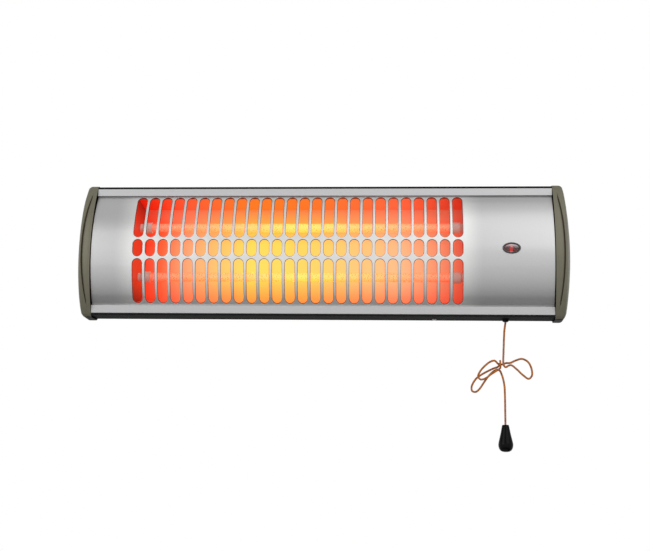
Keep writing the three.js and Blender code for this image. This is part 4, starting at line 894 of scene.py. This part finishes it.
BEZEL_HALF_LENGTH, BEZEL_HALF_HEIGHT = 10, 6.25
BEZEL_SHAPE = (
    (1.4, -0.3), (0, -0.3), (0, -0.7), (0.25, -1.2), (0.7, -1.5), (1.2, -1.45), (1.7, -1),
    (1.8, -0.4), (1.8, 9), (1.4, 9), (1.4, -0.3),
)
LENS_HALF_LENGTH, LENS_HALF_HEIGHT = 7.8, 4.05
LENS_CROWN = -2.1
LENS_SAG = 1.1
LENS_RINGS = 8
LENS_SHEET = 1
LAMP_DEPTH = 4.4
LAMP_RADIUS = 1.3
LAMP_HALF = 1.9


def oval_turned(name, profile, steps=48):
    """An oval piece from (inset from the bezel's outline, depth) points."""
    def where(column, row):
        inset, depth = profile[column]
        angle = 2 * math.pi * row / steps
        x = (BEZEL_HALF_LENGTH - inset) * math.cos(angle)
        z = (BEZEL_HALF_HEIGHT - inset) * math.sin(angle)
        return spot(INDICATOR[0] + x, depth, INDICATOR[1] + z)

    return closed(laid_grid(name, len(profile) - 1, steps, where))


def add_indicator():
    bezel = smooth(oval_turned("indicator_rim", BEZEL_SHAPE), 50)
    dressed(bezel, BEZEL, "heater", "black_plastic", "indicator_bezel")
    steps = 48

    def dome(column, row):
        share = column / LENS_RINGS
        angle = 2 * math.pi * row / steps
        x = LENS_HALF_LENGTH * share * math.cos(angle)
        z = LENS_HALF_HEIGHT * share * math.sin(angle)
        return spot(INDICATOR[0] + x, LENS_CROWN + LENS_SAG * share ** 2, INDICATOR[1] + z)

    lens = closed(laid_grid("indicator_window", LENS_RINGS, steps, dome))
    applied(lens, "SOLIDIFY", thickness=LENS_SHEET * MM, offset=-1)
    dressed(smooth(lens, 40), LENS, "heater", "lens", "indicator_lens")
    foot = arc(LAMP_RADIUS, (0, -LAMP_HALF), -90, 0, 6)
    head = arc(LAMP_RADIUS, (0, LAMP_HALF), 0, 90, 6)
    lamp_shape = [(0, -LAMP_HALF - LAMP_RADIUS), *foot[1:], *head]
    middle = spot(INDICATOR[0], LAMP_DEPTH, INDICATOR[1])
    lamp = turned("indicator_bulb", lamp_shape, middle, (0, 0, 1), 24)
    dressed(smooth(lamp), LAMP, "heater", "lamp", "indicator_lamp")


BUSH_SHAPE = (
    (1.4, 6.7), (1.4, 0.2), (1.5, -0.3), (1.9, -0.9), (2.3, -0.95), (2.8, -0.7), (3.5, 0.1),
    (4.1, 0.8), (4.4, 1.3), (4.4, 1.7), (3, 1.7), (3, 6.7), (1.4, 6.7),
)
KNOB_SHAPE = (
    (0, -3), (1.25, -3), (1.25, -0.3), (1.6, 0), (3, 0), (3.5, -0.25), (3.8, -0.8), (4.6, -5),
    (5.6, -10), (6.8, -15), (7.6, -18.2), (8, -20.6), (7.9, -23), (7.2, -25.5), (5.8, -27.5),
    (3.8, -28.6), (1.9, -28.95), (0, -29),
)
INNER_CORD_POINTS = 46


def add_pull():
    mouth = spot(CORD_X, CORD_DEPTH, BUSH_MOUTH)
    bush = smooth(turned("cord_bush_dome", BUSH_SHAPE, mouth, (0, 0, 1)), 40)
    dressed(bush, BLACK_GLOSS, "heater", "black_plastic", "cord_bush")
    top = spot(CORD_X + KNOB_OFFSET, CORD_DEPTH, KNOB_TOP)
    knob = turned("pull_knob_drop", KNOB_SHAPE, top, (0, 0, 1), 64)
    dressed(smooth(knob, 50), BLACK_GLOSS, "cord", "black_plastic", "pull_knob")
    inner = [mouth + Vector((0, 0, k * BRAID_STEP * MM)) for k in range(INNER_CORD_POINTS)]
    inside = smooth(tube_on("pull_cord_in_bush", inner, BRAID_SIDES, braid_radius), 80)
    dressed(inside, BRAID, "pull", "cord", "pull_cord_inner")
    dressed(pull_cord, BRAID, "cord", "cord", "pull_cord_upper", "pull_cord_bow", "pull_cord_lower")
    [tuple(point) for point in cord_line]


# CAD nodes that are shown as they are

EASED_EDGE = 0.3
EASED_ANGLE = 32


def eased(node):
    """Softens a node's sharp edges."""
    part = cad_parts[node]
    part.modifiers.new("weld", "WELD").merge_threshold = MEETING
    bevel = part.modifiers.new("bevel", "BEVEL")
    bevel.width = EASED_EDGE * MM
    bevel.segments = 2
    bevel.limit_method = "ANGLE"
    bevel.angle_limit = math.radians(EASED_ANGLE)


def painted(material, *names):
    for name in names:
        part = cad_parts[name]
        part.data.materials.clear()
        part.data.materials.append(material)


def dress_nodes():
    sides, levels = ("left", "right"), ("upper", "lower")
    painted(STRIP_PAINT, "trim_strip_top", "trim_strip_bottom")
    painted(BLACK_PAINT, "rear_casing", "wall_bracket")
    painted(MIRROR, "reflector")
    painted(PLATE_STEEL, "tube_plate_left", "tube_plate_right")
    painted(CERAMIC, *["ceramic_end_" + level + "_" + side for level in levels for side in sides])
    painted(STEEL, *["tube_terminal_" + level + "_" + side for level in levels for side in sides])
    painted(STEEL, *["pivot_" + kind + "_" + side for kind in ("lug", "bolt", "nut") for side in sides])
    painted(STEEL, "lever_pin", "lever_spring", "thermal_cutout", "casing_screw")
    painted(NYLON, "lamp_holder", "switch_housing", "selector_drum", "terminal_block")
    painted(BRASS, "switch_lever", "cord_ferrule")
    painted(BLACK_GLOSS, "cable_gland")
    painted(SLEEVE, "lead_upper_tube", "lead_lower_tube", "lead_supply", "lead_tube_link", "lead_return")
    for node in ("trim_strip_top", "trim_strip_bottom", "rear_casing", "wall_bracket",
                 "pivot_lug_left", "pivot_lug_right", "cable_gland"):
        eased(node)


# Floor and studio

FLOOR_RADIUS = 0.55
FLOOR_PLACE = (0, -0.06, -1)


def add_floor():
    bpy.ops.object.select_all(action="DESELECT")
    bpy.ops.mesh.primitive_circle_add(vertices=96, radius=FLOOR_RADIUS, fill_type="NGON",
                                      location=FLOOR_PLACE)
    floor = bpy.context.object
    floor.name = "floor"
    floor.data.materials.append(FLOOR)


# How light the studio is at each angle above the level.
STUDIO = [
    (-90, 0.0), (-50, 0.0), (-30, 0.52), (-15, 0.72), (5, 0.82), (25, 0.6), (47, 0.42),
    (70, 0.66), (90, 0.12),
]


def add_world():
    world = bpy.data.worlds.new("studio")
    bpy.context.scene.world = world
    world.use_nodes = True
    nodes, links = world.node_tree.nodes, world.node_tree.links
    background = nodes["Background"]
    place = nodes.new("ShaderNodeTexCoord")
    split = nodes.new("ShaderNodeSeparateXYZ")
    links.new(place.outputs["Generated"], split.inputs["Vector"])
    rise = nodes.new("ShaderNodeMapRange")
    rise.inputs["From Min"].default_value = -1
    links.new(split.outputs["Z"], rise.inputs["Value"])
    stops = [((math.sin(math.radians(angle)) + 1) / 2, (light,) * 3) for angle, light in STUDIO]
    tone = ramp(world, rise.outputs["Result"], stops)
    path = nodes.new("ShaderNodeLightPath")
    seen = nodes.new("ShaderNodeMath")
    seen.operation = "MAXIMUM"
    links.new(path.outputs["Is Camera Ray"], seen.inputs[0])
    links.new(path.outputs["Is Transmission Ray"], seen.inputs[1])
    seen_as_white = mixed(world, seen.outputs["Value"], tone, (1, 1, 1, 1))
    links.new(seen_as_white, background.inputs["Color"])


def add_lamp(name, place, size, power):
    bpy.ops.object.light_add(type="AREA", location=place)
    lamp = bpy.context.object
    lamp.name = name
    lamp.data.size = size
    lamp.data.energy = power
    lamp.rotation_euler = (-Vector(place)).to_track_quat("-Z", "Y").to_euler()


add_panel()
add_cap("left", -1)
add_cap("right", 1)
add_tubes()
add_indicator()
add_pull()
dress_nodes()
add_floor()
add_world()
add_lamp("key", (1.2, -1.8, 1.3), 2.2, 15)
add_lamp("fill", (-1.5, -1.6, 0.6), 1.4, 8)
bpy.context.scene.view_settings.view_transform = "Standard"
